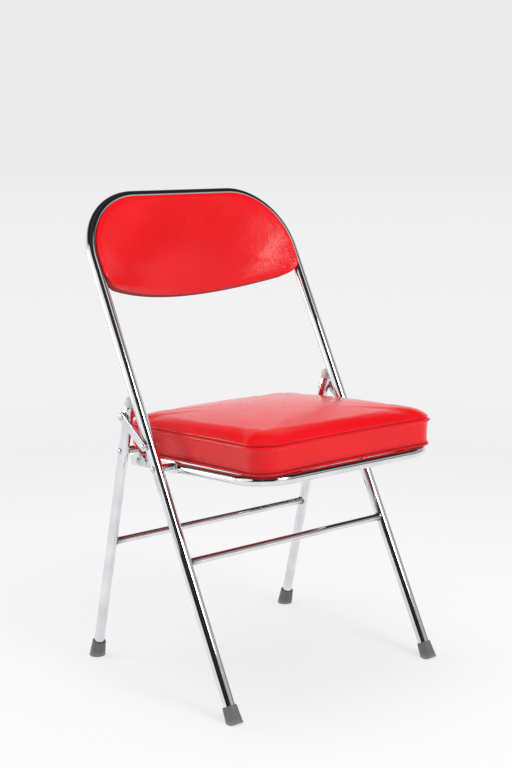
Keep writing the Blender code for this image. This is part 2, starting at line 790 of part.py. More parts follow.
def on_back(x, along, forward):
    """A point of the back: out to x, along the front tube, and forward of the dished middle surface."""
    return on_front(along, dish(x, along) - forward, x)


def back_outline(inset, lift, arc_steps=8, side_steps=4):
    """The back's outline as (x, along): inset from the bow's axis, and lifted at its lower edge."""
    half = LEG_X - inset
    low = (-half, BACK_LENGTH - BACK_LIP - BACK_HEIGHT + lift)
    high = (half, BACK_LENGTH - inset)
    low_radius = max(BACK_CORNER - lift, 0.3 * BACK_CORNER)
    return rounded_rectangle(low, high, low_radius, BOW_RADIUS - inset, 0.0, arc_steps, side_steps)


def back_ring(outline, forward):
    return [on_back(x, along, forward) for x, along in outline]


def build_back(body):
    """A padded panel on a shell: its lip lies on the front of the bow and its body inside it."""
    centre = np.array((0.0, BACK_LENGTH - BACK_LIP - BACK_HEIGHT / 2))
    tube = FRAME_TUBE / 2 + 1.5 * GAP
    inside = BACK_INSIDE
    rear = BACK_REAR
    edge = [(inside, SHELL_EASE, rear), (inside, 0.4 * SHELL_EASE, -2 * rear)]
    for inset in (0.92 * tube, 0.74 * tube, BACK_LIP):
        edge.append((inset, 0.0, math.sqrt(tube**2 - inset**2)))
    lip = edge[-1][2]
    rim = lip + BACK_RIM
    edge += [
        (BACK_LIP, 0.0, lip + 0.4 * BACK_RIM),
        (BACK_LIP + 0.33 * BACK_ROUND, 0.33 * BACK_ROUND, lip + 0.85 * BACK_RIM),
        (BACK_LIP + BACK_ROUND, BACK_ROUND, rim + 0.15 * BACK_PUFF),
        (BACK_LIP + 0.5 * BACK_SHOULDER, 0.5 * BACK_SHOULDER, rim + 0.33 * BACK_PUFF),
        (BACK_LIP + BACK_SHOULDER, BACK_SHOULDER, rim + 0.5 * BACK_PUFF),
    ]
    lowest = back_outline(*edge[0][:2])
    shares = (0.1, 0.28, 0.46, 0.64, 0.82, 1.0)
    rings = [back_ring(drawn_to(lowest, centre, share), rear) for share in shares[:-1]]
    rings += [back_ring(back_outline(inset, lift), forward) for inset, lift, forward in edge]
    shoulder = back_outline(*edge[-1][:2])
    for share in (0.75, 0.45, 0.12):
        forward = rim + BACK_PUFF * (0.5 + 0.5 * (1 - share**2))
        rings.append(back_ring(drawn_to(shoulder, centre, share), forward))
    finish(mesh_object("back_pad", loft(rings)), VINYL, body, crease=60.0)

    front = rear - SHELL_GAP
    behind = front - SHELL_THICK
    outer = back_outline(inside, SHELL_EASE)
    eased = back_outline(inside + SHELL_EASE, 2 * SHELL_EASE)
    shell_rings = [back_ring(drawn_to(outer, centre, share), front) for share in shares]
    shell_rings.append(back_ring(outer, behind + SHELL_EASE))
    shell_rings += [back_ring(drawn_to(eased, centre, share), behind) for share in reversed(shares)]
    shell = mesh_object("back_shell", loft(shell_rings))
    holes = build_back_tabs(behind, body)
    cut(shell, drill("shell_holes", holes, body))
    finish(shell, VINYL_BACK, body)


def build_back_tabs(behind, body):
    """Steel tabs from the bow to the rear of the shell, each with a screw, and the holes for the screws."""
    seat_tube = bent_tube("bow_seat", bow_path(0.5 * BACK_LENGTH), FRAME_TUBE + 2 * GAP, solid=True)
    bow = cutter("bow_seat", seat_tube, body)
    spots = []
    for side, sign in SIDES:
        top = BACK_LENGTH - BACK_TAB_DOWN
        spots.append((f"top_{side}", (sign * BACK_TAB_X, top), (0.0, 1.0), BACK_TAB_DOWN))
        beside = (sign * (LEG_X - BACK_TAB_IN), BACK_LENGTH - BACK_SIDE_TAB_DOWN)
        spots.append((f"side_{side}", beside, (sign, 0.0), BACK_TAB_IN))
    holes = []
    step = 0.001
    for name, (x, along), way, reach in spots:
        seat = on_back(x, along, behind)
        out = (on_back(x + step * way[0], along + step * way[1], behind) - seat).normalized()
        beside = (on_back(x - step * way[1], along + step * way[0], behind) - seat).normalized()
        normal = out.cross(beside).normalized()
        if normal.dot(FRONT_BACK) < 0:
            normal = -normal
        beside = normal.cross(out)
        length = reach / (out.x * way[0] + out.dot(FRONT_UP) * way[1])
        tail = BACK_TAB_WIDTH / 2
        middle = seat + (BACK_TAB_LIFT + TAB_THICK / 2) * normal + (length - tail) / 2 * out
        axes = Matrix((out, beside, normal)).transposed().to_4x4()
        outline = tab_outline(length + tail, BACK_TAB_WIDTH)
        tab = plate(f"back_tab_{name}", outline, TAB_THICK, Matrix.Translation(middle) @ axes)
        cut(tab, bow)
        ends = (seat - CUT_PAST * normal, seat + (BACK_TAB_LIFT + TAB_THICK + CUT_PAST) * normal)
        cut(tab, drill(f"back_tab_{name}_hole", [(*ends, SCREW_SHANK + 2 * GAP)], body))
        finish(tab, CHROME, body)
        rest = seat + (BACK_TAB_LIFT + TAB_THICK + GAP) * normal
        add_screw(f"back_screw_{name}", rest, -normal, TAB_THICK + SHELL_THICK - SCREW_COVER, body)
        hole_end = seat - (SHELL_THICK - SCREW_COVER / 2) * normal
        holes.append((seat + CUT_PAST * normal, hole_end, SCREW_SHANK + 2 * GAP))
    return holes


# Rear legs and links


def build_rear_legs(body):
    holes = []
    shape = bmesh.new()
    for _, sign in SIDES:
        for place in (REAR_PIVOT, LINK_TOP):
            holes.append(rivet_hole(place, sign, REAR_OUT, REAR_IN))
        add_rod(shape, on_rear(0.0, sign * LEG_X), on_rear(REAR_LEG_UP, sign * LEG_X), REAR_TUBE + 2 * GAP)
    drills = drill("rear_leg_holes", holes, body)
    seats = cutter("rear_leg_seats", shape, body)
    bore = REAR_TUBE / 2 - TUBE_WALL - GAP
    round_end = REAR_TUBE / 2
    plug = [
        (round_end * math.sin(angle), PLUG_LENGTH + round_end * math.cos(angle))
        for angle in np.linspace(0.0, math.pi / 2, 6)
    ]
    plug += [(round_end, GAP), (bore, GAP), (bore, -PLUG_TAIL), (0.0, -PLUG_TAIL)]
    for side, sign in SIDES:
        ends = [on_rear(tube_start(REAR_LEAN), sign * LEG_X), on_rear(REAR_LEG_UP, sign * LEG_X)]
        leg = bent_tube(f"rear_leg_{side}", ends, REAR_TUBE)
        cut(leg, drills)
        finish(leg, CHROME, body)
        finish(turned(f"rear_leg_plug_{side}", plug, ends[1], REAR_UP), PLASTIC, body)
        shank, head = RIVET_SHANK / 2, RIVET_HEAD / 2
        pin = [(0.0, REAR_OUT), (shank, REAR_OUT), (shank, REAR_IN - GAP), (head, REAR_IN - GAP)]
        inner = REAR_IN - GAP - 0.8 * RIVET_HEAD_HEIGHT
        pin += [(0.8 * head, inner), (0.0, inner)]
        axis = Vector((sign, 0.0, 0.0))
        finish(turned(f"link_top_pin_{side}", pin, across(LINK_TOP, 0.0), axis), ZINC, body)
    ends = [on_rear(REAR_STRETCHER_UP, sign * LEG_X) for _, sign in SIDES]
    stretcher = bent_tube("rear_stretcher", ends, STRETCHER_TUBE)
    cut(stretcher, seats)
    finish(stretcher, CHROME, body)


def build_links(bodies):
    """A flat link on the outside of each pair of legs, with the rivet that holds it to the rear leg."""
    run = LINK_TOP - LINK_PIVOT
    outline = hull_of_circles((((0.0, 0.0), LINK_WIDTH / 2), ((run.length, 0.0), LINK_WIDTH / 2)))
    along = run.normalized()
    beside = Vector((0.0, -along.z, along.y))
    for side, sign in SIDES:
        place = across(LINK_PIVOT, sign * (LINK_IN + LINK_OUT) / 2)
        frame = Matrix((
            (0.0, 0.0, 1.0, place.x),
            (along.y, beside.y, 0.0, place.y),
            (along.z, beside.z, 0.0, place.z),
            (0.0, 0.0, 0.0, 1.0),
        ))
        link = plate(f"link_{side}", outline, LINK_THICK, frame)
        holes = [rivet_hole(spot, sign, LINK_OUT, LINK_IN) for spot in (LINK_PIVOT, LINK_TOP)]
        cut(link, drill(f"link_holes_{side}", holes, bodies[side]))
        finish(link, CHROME, bodies[side])
        collar = (LINK_IN - GAP, REAR_OUT + 2 * GAP)
        add_rivet(f"link_top_rivet_{side}", LINK_TOP, sign, LINK_OUT + GAP, None, bodies[side], collar)


# Assembly


def centre_on_floor(root):
    """Move the whole chair so that the middle of its box stands over the origin."""
    bpy.context.view_layer.update()
    graph = bpy.context.evaluated_depsgraph_get()
    low, high = math.inf, -math.inf
    for obj in PARTS.objects:
        if obj.type == "MESH":
            evaluated = obj.evaluated_get(graph)
            ys = [(evaluated.matrix_world @ vertex.co).y for vertex in evaluated.data.vertices]
            low, high = min(low, *ys), max(high, *ys)
    root.location.y = -(low + high) / 2
    return root.location.y


def print_joints(shift):
    """The joint axes in the finished frame, and the angles that the linkage turns through as it folds."""
    shut_link = SHUT_TOP - Vector((LINK_UP, 0.0))
    open_link = OPEN_TOP - Vector((LINK_UP, 0.0))
    link_turn = math.atan2(shut_link.y, shut_link.x) - math.atan2(open_link.y, open_link.x)
    seat_turn = math.pi / 2 + FRONT_LEAN - SEAT_TILT
    leg_turn = FRONT_LEAN + REAR_LEAN - seat_turn
    for name, place in (("seat", SEAT_PIVOT), ("rear legs", REAR_PIVOT), ("links", LINK_PIVOT)):
        print(f"{name} pivot y {place.y + shift:.5f} z {place.z:.5f}")
    print(f"chair moved by a shift {shift:.5f} in y")
    print(f"link length {(LINK_TOP - LINK_PIVOT).length:.5f}")
    print(f"seat tilt {math.degrees(SEAT_TILT):.2f} degrees")
    print(f"seat turns {math.degrees(seat_turn - FOLD_SHORT):.2f} degrees of {math.degrees(seat_turn):.2f}")
    print(f"rear legs per seat {leg_turn / seat_turn:.5f}, links per seat {link_turn / seat_turn:.5f}")


clear_scene()
PARTS = new_collection("folding_chair")
CUTTERS = new_collection("folding_chair_cutters", hidden=True)
CHROME = new_material("chromed_tube", (0.62, 0.63, 0.64), 0.08, metallic=1.0)
ZINC = new_material("zinc_rivet", (0.46, 0.46, 0.47), 0.28, metallic=1.0)
VINYL = new_material("red_vinyl", (0.72, 0.012, 0.016), 0.32, coat=0.3)
VINYL_BACK = new_material("red_vinyl_shell", (0.62, 0.012, 0.015), 0.42)
RUBBER = new_material("grey_rubber", (0.10, 0.10, 0.095), 0.80)
PLASTIC = new_material("pale_plug_plastic", (0.60, 0.60, 0.58), 0.40)

ROOT = new_pivot("folding_chair", Vector((0.0, 0.0, 0.0)))
SEAT = new_pivot("seat_pivot", SEAT_PIVOT, ROOT)
REAR_LEGS = new_pivot("rear_leg_pivot", REAR_PIVOT, SEAT)
LINKS = {}
for side, sign in SIDES:
    LINKS[side] = new_pivot(f"link_pivot_{side}", across(LINK_PIVOT, sign * LINK_IN), ROOT)

build_main_frame(ROOT)
build_front_rivets(ROOT)
build_back(ROOT)
build_seat_frame(SEAT)
build_seat_ears(SEAT)
build_seat_board(SEAT)
build_cushion(SEAT)
build_rear_legs(REAR_LEGS)
build_links(LINKS)
below = bmesh.new()
bmesh.ops.create_cube(below, size=1.0, matrix=Matrix.Translation(-0.5 * UP))
FLOOR = cutter("floor_cut", below, ROOT)
build_feet(
    (
        ("front", FRONT_FOOT, FRONT_UP, FRONT_LEAN, FRAME_TUBE, ROOT),
        ("rear", REAR_FOOT, REAR_UP, REAR_LEAN, REAR_TUBE, REAR_LEGS),
    ),
    FLOOR,
)
print_joints(centre_on_floor(ROOT))
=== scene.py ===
"""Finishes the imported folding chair: chromed tube, riveted links, rubber feet, vinyl cushions and a pale stage.

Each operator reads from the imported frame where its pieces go, and lays fine surfaces over the CAD nodes that they
stand for. Units are metres in the frame's own axes: the sitter faces -Y and +X is the sitter's left.
"""

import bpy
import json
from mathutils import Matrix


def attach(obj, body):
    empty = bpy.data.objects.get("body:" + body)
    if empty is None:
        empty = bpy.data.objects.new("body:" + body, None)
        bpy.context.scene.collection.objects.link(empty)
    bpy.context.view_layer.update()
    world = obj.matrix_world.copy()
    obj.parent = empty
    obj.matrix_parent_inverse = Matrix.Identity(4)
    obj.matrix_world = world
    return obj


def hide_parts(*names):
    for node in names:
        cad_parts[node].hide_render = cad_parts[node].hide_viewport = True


bl_info = {
    "name": "Folding Chair Finish",
    "version": (1, 0, 0),
    "blender": (4, 5, 0),
    "location": "View3D > Sidebar > Chair",
    "description": "Lays chrome, rubber and padded vinyl over the packed folding chair and sets its stage",
    "category": "Object",
}

import json
import math

import bpy
import numpy as np
from mathutils import Euler

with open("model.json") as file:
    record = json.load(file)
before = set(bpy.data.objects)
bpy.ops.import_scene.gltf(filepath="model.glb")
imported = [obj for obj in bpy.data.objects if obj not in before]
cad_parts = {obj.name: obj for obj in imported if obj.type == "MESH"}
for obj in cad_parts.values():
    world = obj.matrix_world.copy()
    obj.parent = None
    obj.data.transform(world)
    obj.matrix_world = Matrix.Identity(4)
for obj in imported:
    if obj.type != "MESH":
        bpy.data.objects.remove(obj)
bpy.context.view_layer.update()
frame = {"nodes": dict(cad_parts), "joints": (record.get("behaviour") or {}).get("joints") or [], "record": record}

# What the imported record says of joints, mounts and bodies
SIDE_VIEW = np.array((0.0, 1.0, 1.0))
ACROSS = np.array((1.0, 0.0, 0.0))
JOINT_AT = {joint["name"]: np.array(joint["pos_m"]) * SIDE_VIEW for joint in frame["joints"]}
MOUNT_AT = {mount["name"]: np.array(mount["pos_m"]) for mount in frame["record"]["mounts"]}
BODY_OF = {
    node: body for body, nodes in frame["record"]["behaviour"]["bodies"].items() for node in nodes
}
SIDES = (("left", 1.0), ("right", -1.0))


# Readings of the frame


def unit(way):
    return way / np.linalg.norm(way, axis=-1, keepdims=True)


def cad_points(node):
    mesh = frame["nodes"][node].data
    flat = np.empty(3 * len(mesh.vertices), np.float32)
    mesh.vertices.foreach_get("co", flat)
    return flat.reshape(-1, 3).astype(float)


def cad_box(node):
    points = cad_points(node)
    return points.min(axis=0), points.max(axis=0)


def cad_centre(node):
    low, high = cad_box(node)
    return (low + high) / 2


def cad_span(node, axis):
    """A turned node's middle, the ends of its run along its axis from that middle, and its radius."""
    points = cad_points(node)
    middle = points.mean(axis=0)
    along = (points - middle) @ axis
    radius = np.linalg.norm(points - middle - along[:, None] * axis, axis=1).max()
    return middle, along.min(), along.max(), radius


def cad_normal(node):
    """The way a flat node faces: the least of its points' main directions."""
    points = cad_points(node)
    return np.linalg.svd(points - points.mean(axis=0), full_matrices=False)[2][-1]


LEG_X = MOUNT_AT["front_foot_left_base"][0]
FRONT_FOOT = MOUNT_AT["front_foot_left_base"] * SIDE_VIEW
REAR_FOOT = MOUNT_AT["rear_foot_left_base"] * SIDE_VIEW
SEAT_PIVOT = JOINT_AT["seat_fold"]
FRONT_UP = unit(SEAT_PIVOT - FRONT_FOOT)
FRONT_BACK = np.array((0.0, FRONT_UP[2], -FRONT_UP[1]))
REAR_UP = unit(JOINT_AT["rear_leg_fold"] - REAR_FOOT)
REAR_BACK = np.array((0.0, REAR_UP[2], -REAR_UP[1]))
SEAT_BACK = unit((cad_centre("seat_tab_rear_left") - cad_centre("seat_tab_front_left")) * SIDE_VIEW)
SEAT_UP = np.array((0.0, -SEAT_BACK[2], SEAT_BACK[1]))
FRAME_R = cad_box("main_frame_tube")[1][0] - LEG_X
REAR_R = cad_box("rear_leg_left")[1][0] - LEG_X
BACK_LENGTH = (cad_box("main_frame_tube")[1][2] - FRAME_R) / FRONT_UP[2]
REAR_LEG_UP = (cad_box("rear_leg_left")[1][2] - REAR_R * abs(REAR_UP[1])) / REAR_UP[2]


def placed(origin, ways, amounts):
    """Points at some amounts along three ways from an origin, whole arrays at once."""
    amounts = np.broadcast_arrays(*amounts)
    return origin + sum(amount[..., None] * way for amount, way in zip(amounts, ways))


def on_front(x, along, behind=0.0):
    return placed(FRONT_FOOT, (ACROSS, FRONT_UP, FRONT_BACK), (x, along, behind))


def on_rear(x, along, behind=0.0):
    return placed(REAR_FOOT, (ACROSS, REAR_UP, REAR_BACK), (x, along, behind))


def on_seat(x, back, up):
    return placed(SEAT_PIVOT, (ACROSS, SEAT_BACK, SEAT_UP), (x, back, up))


def seat_box(node):
    """A node's least and greatest (x, back, up) in the seat's own axes."""
    local = (cad_points(node) - SEAT_PIVOT) @ np.stack((ACROSS, SEAT_BACK, SEAT_UP), axis=1)
    return local.min(axis=0), local.max(axis=0)


# Properties


def length(name, description, default):
    return bpy.props.FloatProperty(
        name=name, description=description, default=default, min=0.0, unit="LENGTH", precision=4
    )


def colour(name, description, default):
    return bpy.props.FloatVectorProperty(
        name=name, description=description, default=default, size=3, subtype="COLOR", min=0.0, max=1.0
    )


class ChairSizes(bpy.types.PropertyGroup):
    """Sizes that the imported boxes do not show."""

    bow_radius: length("Bow radius", "Bend of the back's upper corners, on the tube's axis", 0.112)
    weld: length("Weld", "Size of the weld fillets where a stretcher meets a leg", 0.0022)
    seat_corner: length("Seat corner", "Bend of the seat tube's front corners, on its axis", 0.060)
    seat_tube: length("Seat tube", "Diameter of the seat tube", 0.016)
    flat_thick: length("Flat thickness", "Thickness of the seat tube's pressed ends", 0.005)
    flat_height: length("Flat height", "Height of the seat tube's pressed ends", 0.020)
    flat_start: length("Flat start", "How far before the seat pivot the tube is fully flat", 0.011)
    flat_blend: length("Flat blend", "Length over which the tube goes from round to flat", 0.018)
    plate_edge: length("Plate edge", "Rounding on the edges of links and ears", 0.0008)
    link_width: length("Link width", "Width of the side links", 0.015)
    rivet_head: length("Rivet head", "Height of a rivet's domed head", 0.002)
    rivet_shank: length("Rivet shank", "Radius of a rivet's shank", 0.003)
    foot_length: length("Foot length", "Length of a rubber foot along its leg", 0.0295)
    foot_top: length("Foot top", "Diameter of a rubber foot at its mouth", 0.0225)
    foot_wide: length("Foot base", "Diameter of a rubber foot at its base", 0.027)
    plug_sleeve: length("Plug sleeve", "Straight part of the plugs in the rear legs", 0.0075)


class CushionSizes(bpy.types.PropertyGroup):
    """Upholstery of the seat and the back."""

    corner: length("Seat corner", "Corner radius of the seat cushion", 0.036)
    taper: length("Taper", "How much narrower each side of the cushion is at the rear", 0.008)
    draw: length("Drawn sides", "How far the cushion's sides pull in between the corners", 0.003)
    band: length("Band", "Height of the cushion's side band", 0.045)
    crown: length("Crown", "Rise of the cushion's top panel above the seam", 0.0255)
    piping: length("Piping", "Diameter of the piping at the foot of the band", 0.0038)
    seam_depth: length("Seam depth", "Depth of the sewn seam's groove", 0.0010)
    seam_lip: length("Seam lip", "Height of the puffed lips beside the seam", 0.0006)
    board_inset: length("Board inset", "How far the board lies inside the cushion's outline", 0.012)
    back_height: length("Back height", "Height of the back pad along the tube", 0.157)
    back_lip: length("Back lip", "How far the pad's edge lies inside the bow's axis", 0.0038)
    back_corner: length("Back corner", "Radius of the back pad's lower corners", 0.027)
    back_dish: length("Back dish", "Depth of the back's hollow at its lower edge", 0.074)
    back_rim: length("Back rim", "Thickness of the pad's rim over the tube", 0.003)
    back_puff: length("Back puff", "Extra thickness of the pad's middle", 0.005)
    shell_thick: length("Shell thickness", "Thickness of the board behind the back pad", 0.006)
    give: length("Give", "Greatest swell kept from the simulation on the seat; the back keeps half of it", 0.004)


class ChairLook(bpy.types.PropertyGroup):
    """Colours of the finishes, of the painted shade in the covers' seams and under the seat, and of the stage."""

    vinyl: colour("Vinyl", "Red of the covers", (0.88, 0.007, 0.012))
    # Painted shade: the underside reds are a darker copy of the covers' red, standing in for the shade below the seat.
    under: colour("Underside", "Dull red of the cover below the seat", (0.30, 0.012, 0.016))
    under_deep: colour("Deep underside", "The same where it varies darker", (0.22, 0.007, 0.010))
    vinyl_deep: colour("Deep vinyl", "Red of the covers where it varies darker", (0.76, 0.004, 0.008))
    # Painted shade: the crease colour is laid into the covers' seams, creases and edges, where shade falls.
    crease: colour("Crease", "Colour in the seams", (0.12, 0.002, 0.004))
    chrome: colour("Chrome", "Chrome plating", (0.80, 0.81, 0.82))
    chrome_dull: colour("Dull chrome", "Chrome plating where it is hazy", (0.66, 0.67, 0.68))
    zinc: colour("Zinc", "Zinc on rivets and screws", (0.72, 0.72, 0.72))
    rubber: colour("Rubber", "Rubber of the feet", (0.15, 0.147, 0.14))
    dust: colour("Dust", "Dust on the rubber near the floor", (0.30, 0.29, 0.275))
    plastic: colour("Plastic", "Plugs of the rear legs", (0.82, 0.82, 0.80))
    weld: colour("Weld", "Darkened plating at the welds", (0.07, 0.06, 0.055))
    backdrop: colour("Backdrop", "Pale floor and background", (0.91, 0.91, 0.92))
    far_end: colour("Far end", "The background far behind the chair", (0.83, 0.83, 0.845))
    room: colour("Room", "Dark end of the room that the chrome mirrors", (0.02, 0.02, 0.022))


# Surfaces


def lay_surface(name, rows, material, like, stands=True, looped=False, crease=35.0, marks=None):
    """A closed surface through rings of points, an array (rows, columns, 3).

    Neighbouring rings are joined by quads. The first and last ring close on a pole at their mean, or on each other
    if looped. Faces are turned outwards by the sign of the enclosed volume. The piece rides with the node it is like,
    and stands for it unless told not to.
    """
    count, columns = rows.shape[:2]
    index = np.arange(count * columns).reshape(count, columns)
    here, there = (index, np.roll(index, -1, axis=0)) if looped else (index[:-1], index[1:])
    quads = np.stack((here, np.roll(here, -1, axis=1), np.roll(there, -1, axis=1), there), axis=-1).reshape(-1, 4)
    points, fans = rows.reshape(-1, 3), np.empty((0, 3), int)
    if not looped:
        first, last, pole = index[0], index[-1], np.full(columns, points.shape[0])
        fans = np.vstack((
            np.stack((np.roll(first, -1), first, pole), axis=-1),
            np.stack((last, np.roll(last, -1), pole + 1), axis=-1),
        ))
        points = np.vstack((points, rows[0].mean(axis=0), rows[-1].mean(axis=0)))
    halves = np.vstack((quads[:, (0, 1, 2)], quads[:, (0, 2, 3)], fans))
    if np.linalg.det(points[halves] - points.mean(axis=0)).sum() < 0:
        quads, fans = quads[:, ::-1], fans[:, ::-1]
    mesh = bpy.data.meshes.new(name)
    mesh.from_pydata(points, [], quads.tolist() + fans.tolist())
    mesh.shade_smooth()
    mesh.set_sharp_from_angle(angle=math.radians(crease))
    for mark, values in (marks or {}).items():
        ends = [] if looped else [values[0].mean(), values[-1].mean()]
        layer = mesh.attributes.new(mark, "FLOAT", "POINT")
        layer.data.foreach_set("value", np.append(values.ravel(), ends).astype(np.float32))
    piece = bpy.data.objects.new(name, mesh)
    bpy.context.scene.collection.objects.link(piece)
    if material:
        mesh.materials.append(material)
        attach(piece, BODY_OF[like])
        if stands:
            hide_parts(like)
    return piece


def swept(path, lift, radius, segments=48, looped=False):
    """A round section of some radius carried along a path that lies in the plane across lift."""
    ahead = np.roll(path, -1, axis=0) - np.roll(path, 1, axis=0) if looped else np.gradient(path, axis=0)
    side = unit(np.cross(unit(ahead), lift))
    turn = np.linspace(0.0, 2 * math.pi, segments, endpoint=False)[:, None]
    ring = np.cos(turn) * side[:, None] + np.sin(turn) * lift
    return path[:, None] + np.reshape(radius, (-1, 1, 1)) * ring


def turned(profile, origin, axis, segments=48):
    """A profile of (radius, height) turned about an axis from an origin."""
    profile = np.asarray(profile)
    first = unit(np.cross(axis, (0.31, 0.52, 0.79)))
    second = np.cross(axis, first)
    turn = np.linspace(0.0, 2 * math.pi, segments, endpoint=False)[:, None]
    ring = np.cos(turn) * first + np.sin(turn) * second
    return origin + profile[:, 1, None, None] * axis + profile[:, 0, None, None] * ring


def eased(corners, radius, steps=4, looped=False):
    """A line of corners with each corner rounded: a parabola from a reach before it to a reach after it."""
    corners = np.asarray(corners, float)
    if looped:
        before, middle, after = np.roll(corners, 1, axis=0), corners, np.roll(corners, -1, axis=0)
    else:
        before, middle, after = corners[:-2], corners[1:-1], corners[2:]
    ends = []
    for other in (before, after):
        run = other - middle
        size = np.linalg.norm(run, axis=1, keepdims=True)
        ends.append(middle + run / size * np.minimum(radius, 0.45 * size))
    part = np.linspace(0.0, 1.0, steps + 1)[None, :, None]
    start, middle, end = ends[0][:, None], middle[:, None], ends[1][:, None]
    curve = ((1 - part) ** 2 * start + 2 * part * (1 - part) * middle + part**2 * end).reshape(-1, corners.shape[1])
    return curve if looped else np.vstack((corners[:1], curve, corners[-1:]))


def knot_runs(knots):
    """Distances along the chords of some knots, from the first."""
    return np.append(0.0, np.cumsum(np.linalg.norm(np.diff(np.asarray(knots, float), axis=0), axis=1)))


def flowing(knots, spots):
    """A smooth curve through knots: a cubic with the slope of each knot's neighbours, at distances along its chords."""
    knots = np.asarray(knots, float)
    run = knot_runs(knots)
    slope = np.gradient(knots, run, axis=0)
    at = np.clip(np.searchsorted(run, spots, side="right") - 1, 0, len(run) - 2)
    gap = (run[at + 1] - run[at])[:, None]
    t = (np.asarray(spots) - run[at])[:, None] / gap
    return (
        (2 * t**3 - 3 * t**2 + 1) * knots[at]
        + (t**3 - 2 * t**2 + t) * gap * slope[at]
        + (3 * t**2 - 2 * t**3) * knots[at + 1]
        + (t**3 - t**2) * gap * slope[at + 1]
    )


def rounded_outline(low, high, low_radius, high_radius, low_steps, high_steps, across_steps, up_steps):
    """Points anticlockwise round a rectangle with quarter-circle corners, and the way inward at each point."""
    quarters = (
        (low[0], low[1], low_radius, math.pi, low_steps, across_steps),
        (high[0], low[1], low_radius, 1.5 * math.pi, low_steps, up_steps),
        (high[0], high[1], high_radius, 0.0, high_steps, across_steps),
        (low[0], high[1], high_radius, 0.5 * math.pi, high_steps, up_steps),
    )
    arcs, sides = [], []
    for x, y, radius, turn, steps, after in quarters:
        angles = turn + np.linspace(0.0, math.pi / 2, steps + 1)[:, None]
        way = np.hstack((np.cos(angles), np.sin(angles)))
        middle = np.array((x, y)) - radius * np.sign(way[0] + way[-1])
        arcs.append((middle + radius * way, -way))
        sides.append(np.linspace(0.0, 1.0, after + 2)[1:-1, None])
    points, inward = [], []
    for (arc, way), (following, _), part in zip(arcs, arcs[1:] + arcs[:1], sides):
        points += [arc, arc[-1] + part * (following[0] - arc[-1])]
        inward += [way, np.repeat(way[-1:], len(part), axis=0)]
    return np.vstack(points), np.vstack(inward)


def plate_rows(outline_at, thick, edge, deep):
    """Rings of a flat plate with rounded edges: the outline at an inset, at a height, from face to face."""
    profile = eased(((deep, -thick / 2), (0.0, -thick / 2), (0.0, thick / 2), (deep, thick / 2)), edge)
    return np.stack([np.column_stack((outline_at(inset), np.full(len(outline_at(inset)), height)))
                     for inset, height in profile])


def circle_hull(circles, inset, steps=96):
    """The outline of a band drawn tight round circles, each a centre and a radius, made smaller by an inset."""
    angles = np.linspace(0.0, 2 * math.pi, steps, endpoint=False)
    ways = np.column_stack((np.cos(angles), np.sin(angles)))
    centres = np.array([centre for centre, _ in circles])
    radii = np.array([radius - inset for _, radius in circles])
    outermost = np.argmax(ways @ centres.T + radii, axis=1)
    return centres[outermost] + radii[outermost, None] * ways


def inflated(rows, held, pressure, most):
    """The rows after their closed surface has been blown up as cloth, its held points fixed.

    Every third row and column is simulated. Its movement is scaled so that its greatest is no more than most. Over the
    last twelve rings, which close on the middle, it passes into its mean there as a level plus a slope times the square
    of the ring's radius. Straight interpolation spreads it back over all rows.
    """
    every, closing, frames = 3, 12, 20
    count, columns = rows.shape[:2]
    picked_rows = np.unique(np.append(np.arange(0, count, every), count - 1))
    picked_columns = np.arange(0, columns, every)
    coarse = rows[picked_rows][:, picked_columns]
    cover = lay_surface("cover_to_fill", coarse, None, None)
    fixed = np.flatnonzero(held[picked_rows][:, picked_columns]).tolist()
    cover.vertex_groups.new(name="held").add(fixed, 1.0, "REPLACE")
    cloth = cover.modifiers.new("fill", "CLOTH")
    cloth.settings.quality = 6
    cloth.settings.mass = 0.25
    cloth.settings.tension_stiffness = cloth.settings.compression_stiffness = 30.0
    cloth.settings.bending_stiffness = 2.0
    cloth.settings.use_pressure = True
    cloth.settings.uniform_pressure_force = pressure
    cloth.settings.effector_weights.gravity = 0.0
    cloth.settings.vertex_group_mass = "held"
    cloth.point_cache.frame_end = frames
    scene = bpy.context.scene
    for number in range(1, frames + 1):
        scene.frame_set(number)
    filled = cover.evaluated_get(bpy.context.evaluated_depsgraph_get()).data
    flat = np.empty(3 * len(filled.vertices), np.float32)
    filled.vertices.foreach_get("co", flat)
    move = flat.reshape(-1, 3)[: coarse.shape[0] * coarse.shape[1]].reshape(coarse.shape) - coarse
    scene.frame_set(1)
    bpy.data.meshes.remove(cover.data)
    if not np.isfinite(move).all():
        raise RuntimeError("the cover's simulation did not settle")
    size = np.linalg.norm(move, axis=-1)
    kept = min(1.0, most / size.max())
    print(f"cover filled: the cloth moved {size.max() * 1000:.2f} mm at most, of which {kept:.0%} is kept")
    move *= kept
    square = np.linalg.norm(coarse - coarse[-1].mean(axis=0), axis=-1).mean(axis=1) ** 2
    slope, level = np.polyfit(square[-closing:], move[-closing:].mean(axis=1), 1)
    own = np.clip((len(move) - 1 - np.arange(len(move))) / closing, 0.0, 1.0)[:, None, None]
    move = own * move + (1 - own) * (level + square[:, None] * slope)[:, None]
    down = np.stack([np.interp(np.arange(count), picked_rows, hat) for hat in np.eye(len(picked_rows))], axis=1)
    round_ = np.stack(
        [np.interp(np.arange(columns), picked_columns, hat, period=columns) for hat in np.eye(len(picked_columns))],
        axis=1,
    )
    return rows + np.einsum("ij,jkc,lk->ilc", down, move, round_)


# Materials


def set_inputs(tree, node, inputs):
    """Give each named input of a node a value or another node's socket."""
    for name, value in inputs.items():
        if isinstance(value, bpy.types.NodeSocket):
            tree.links.new(value, node.inputs[name])
        else:
            node.inputs[name].default_value = value


def put(tree, kind, inputs=None, **settings):
    """A new node with some settings and inputs."""
    node = tree.nodes.new(kind)
    for name, value in settings.items():
        setattr(node, name, value)
    set_inputs(tree, node, inputs or {})
    return node


def joined(tree, operation, first, second):
    return put(tree, "ShaderNodeMath", {0: first, 1: second}, operation=operation).outputs[0]


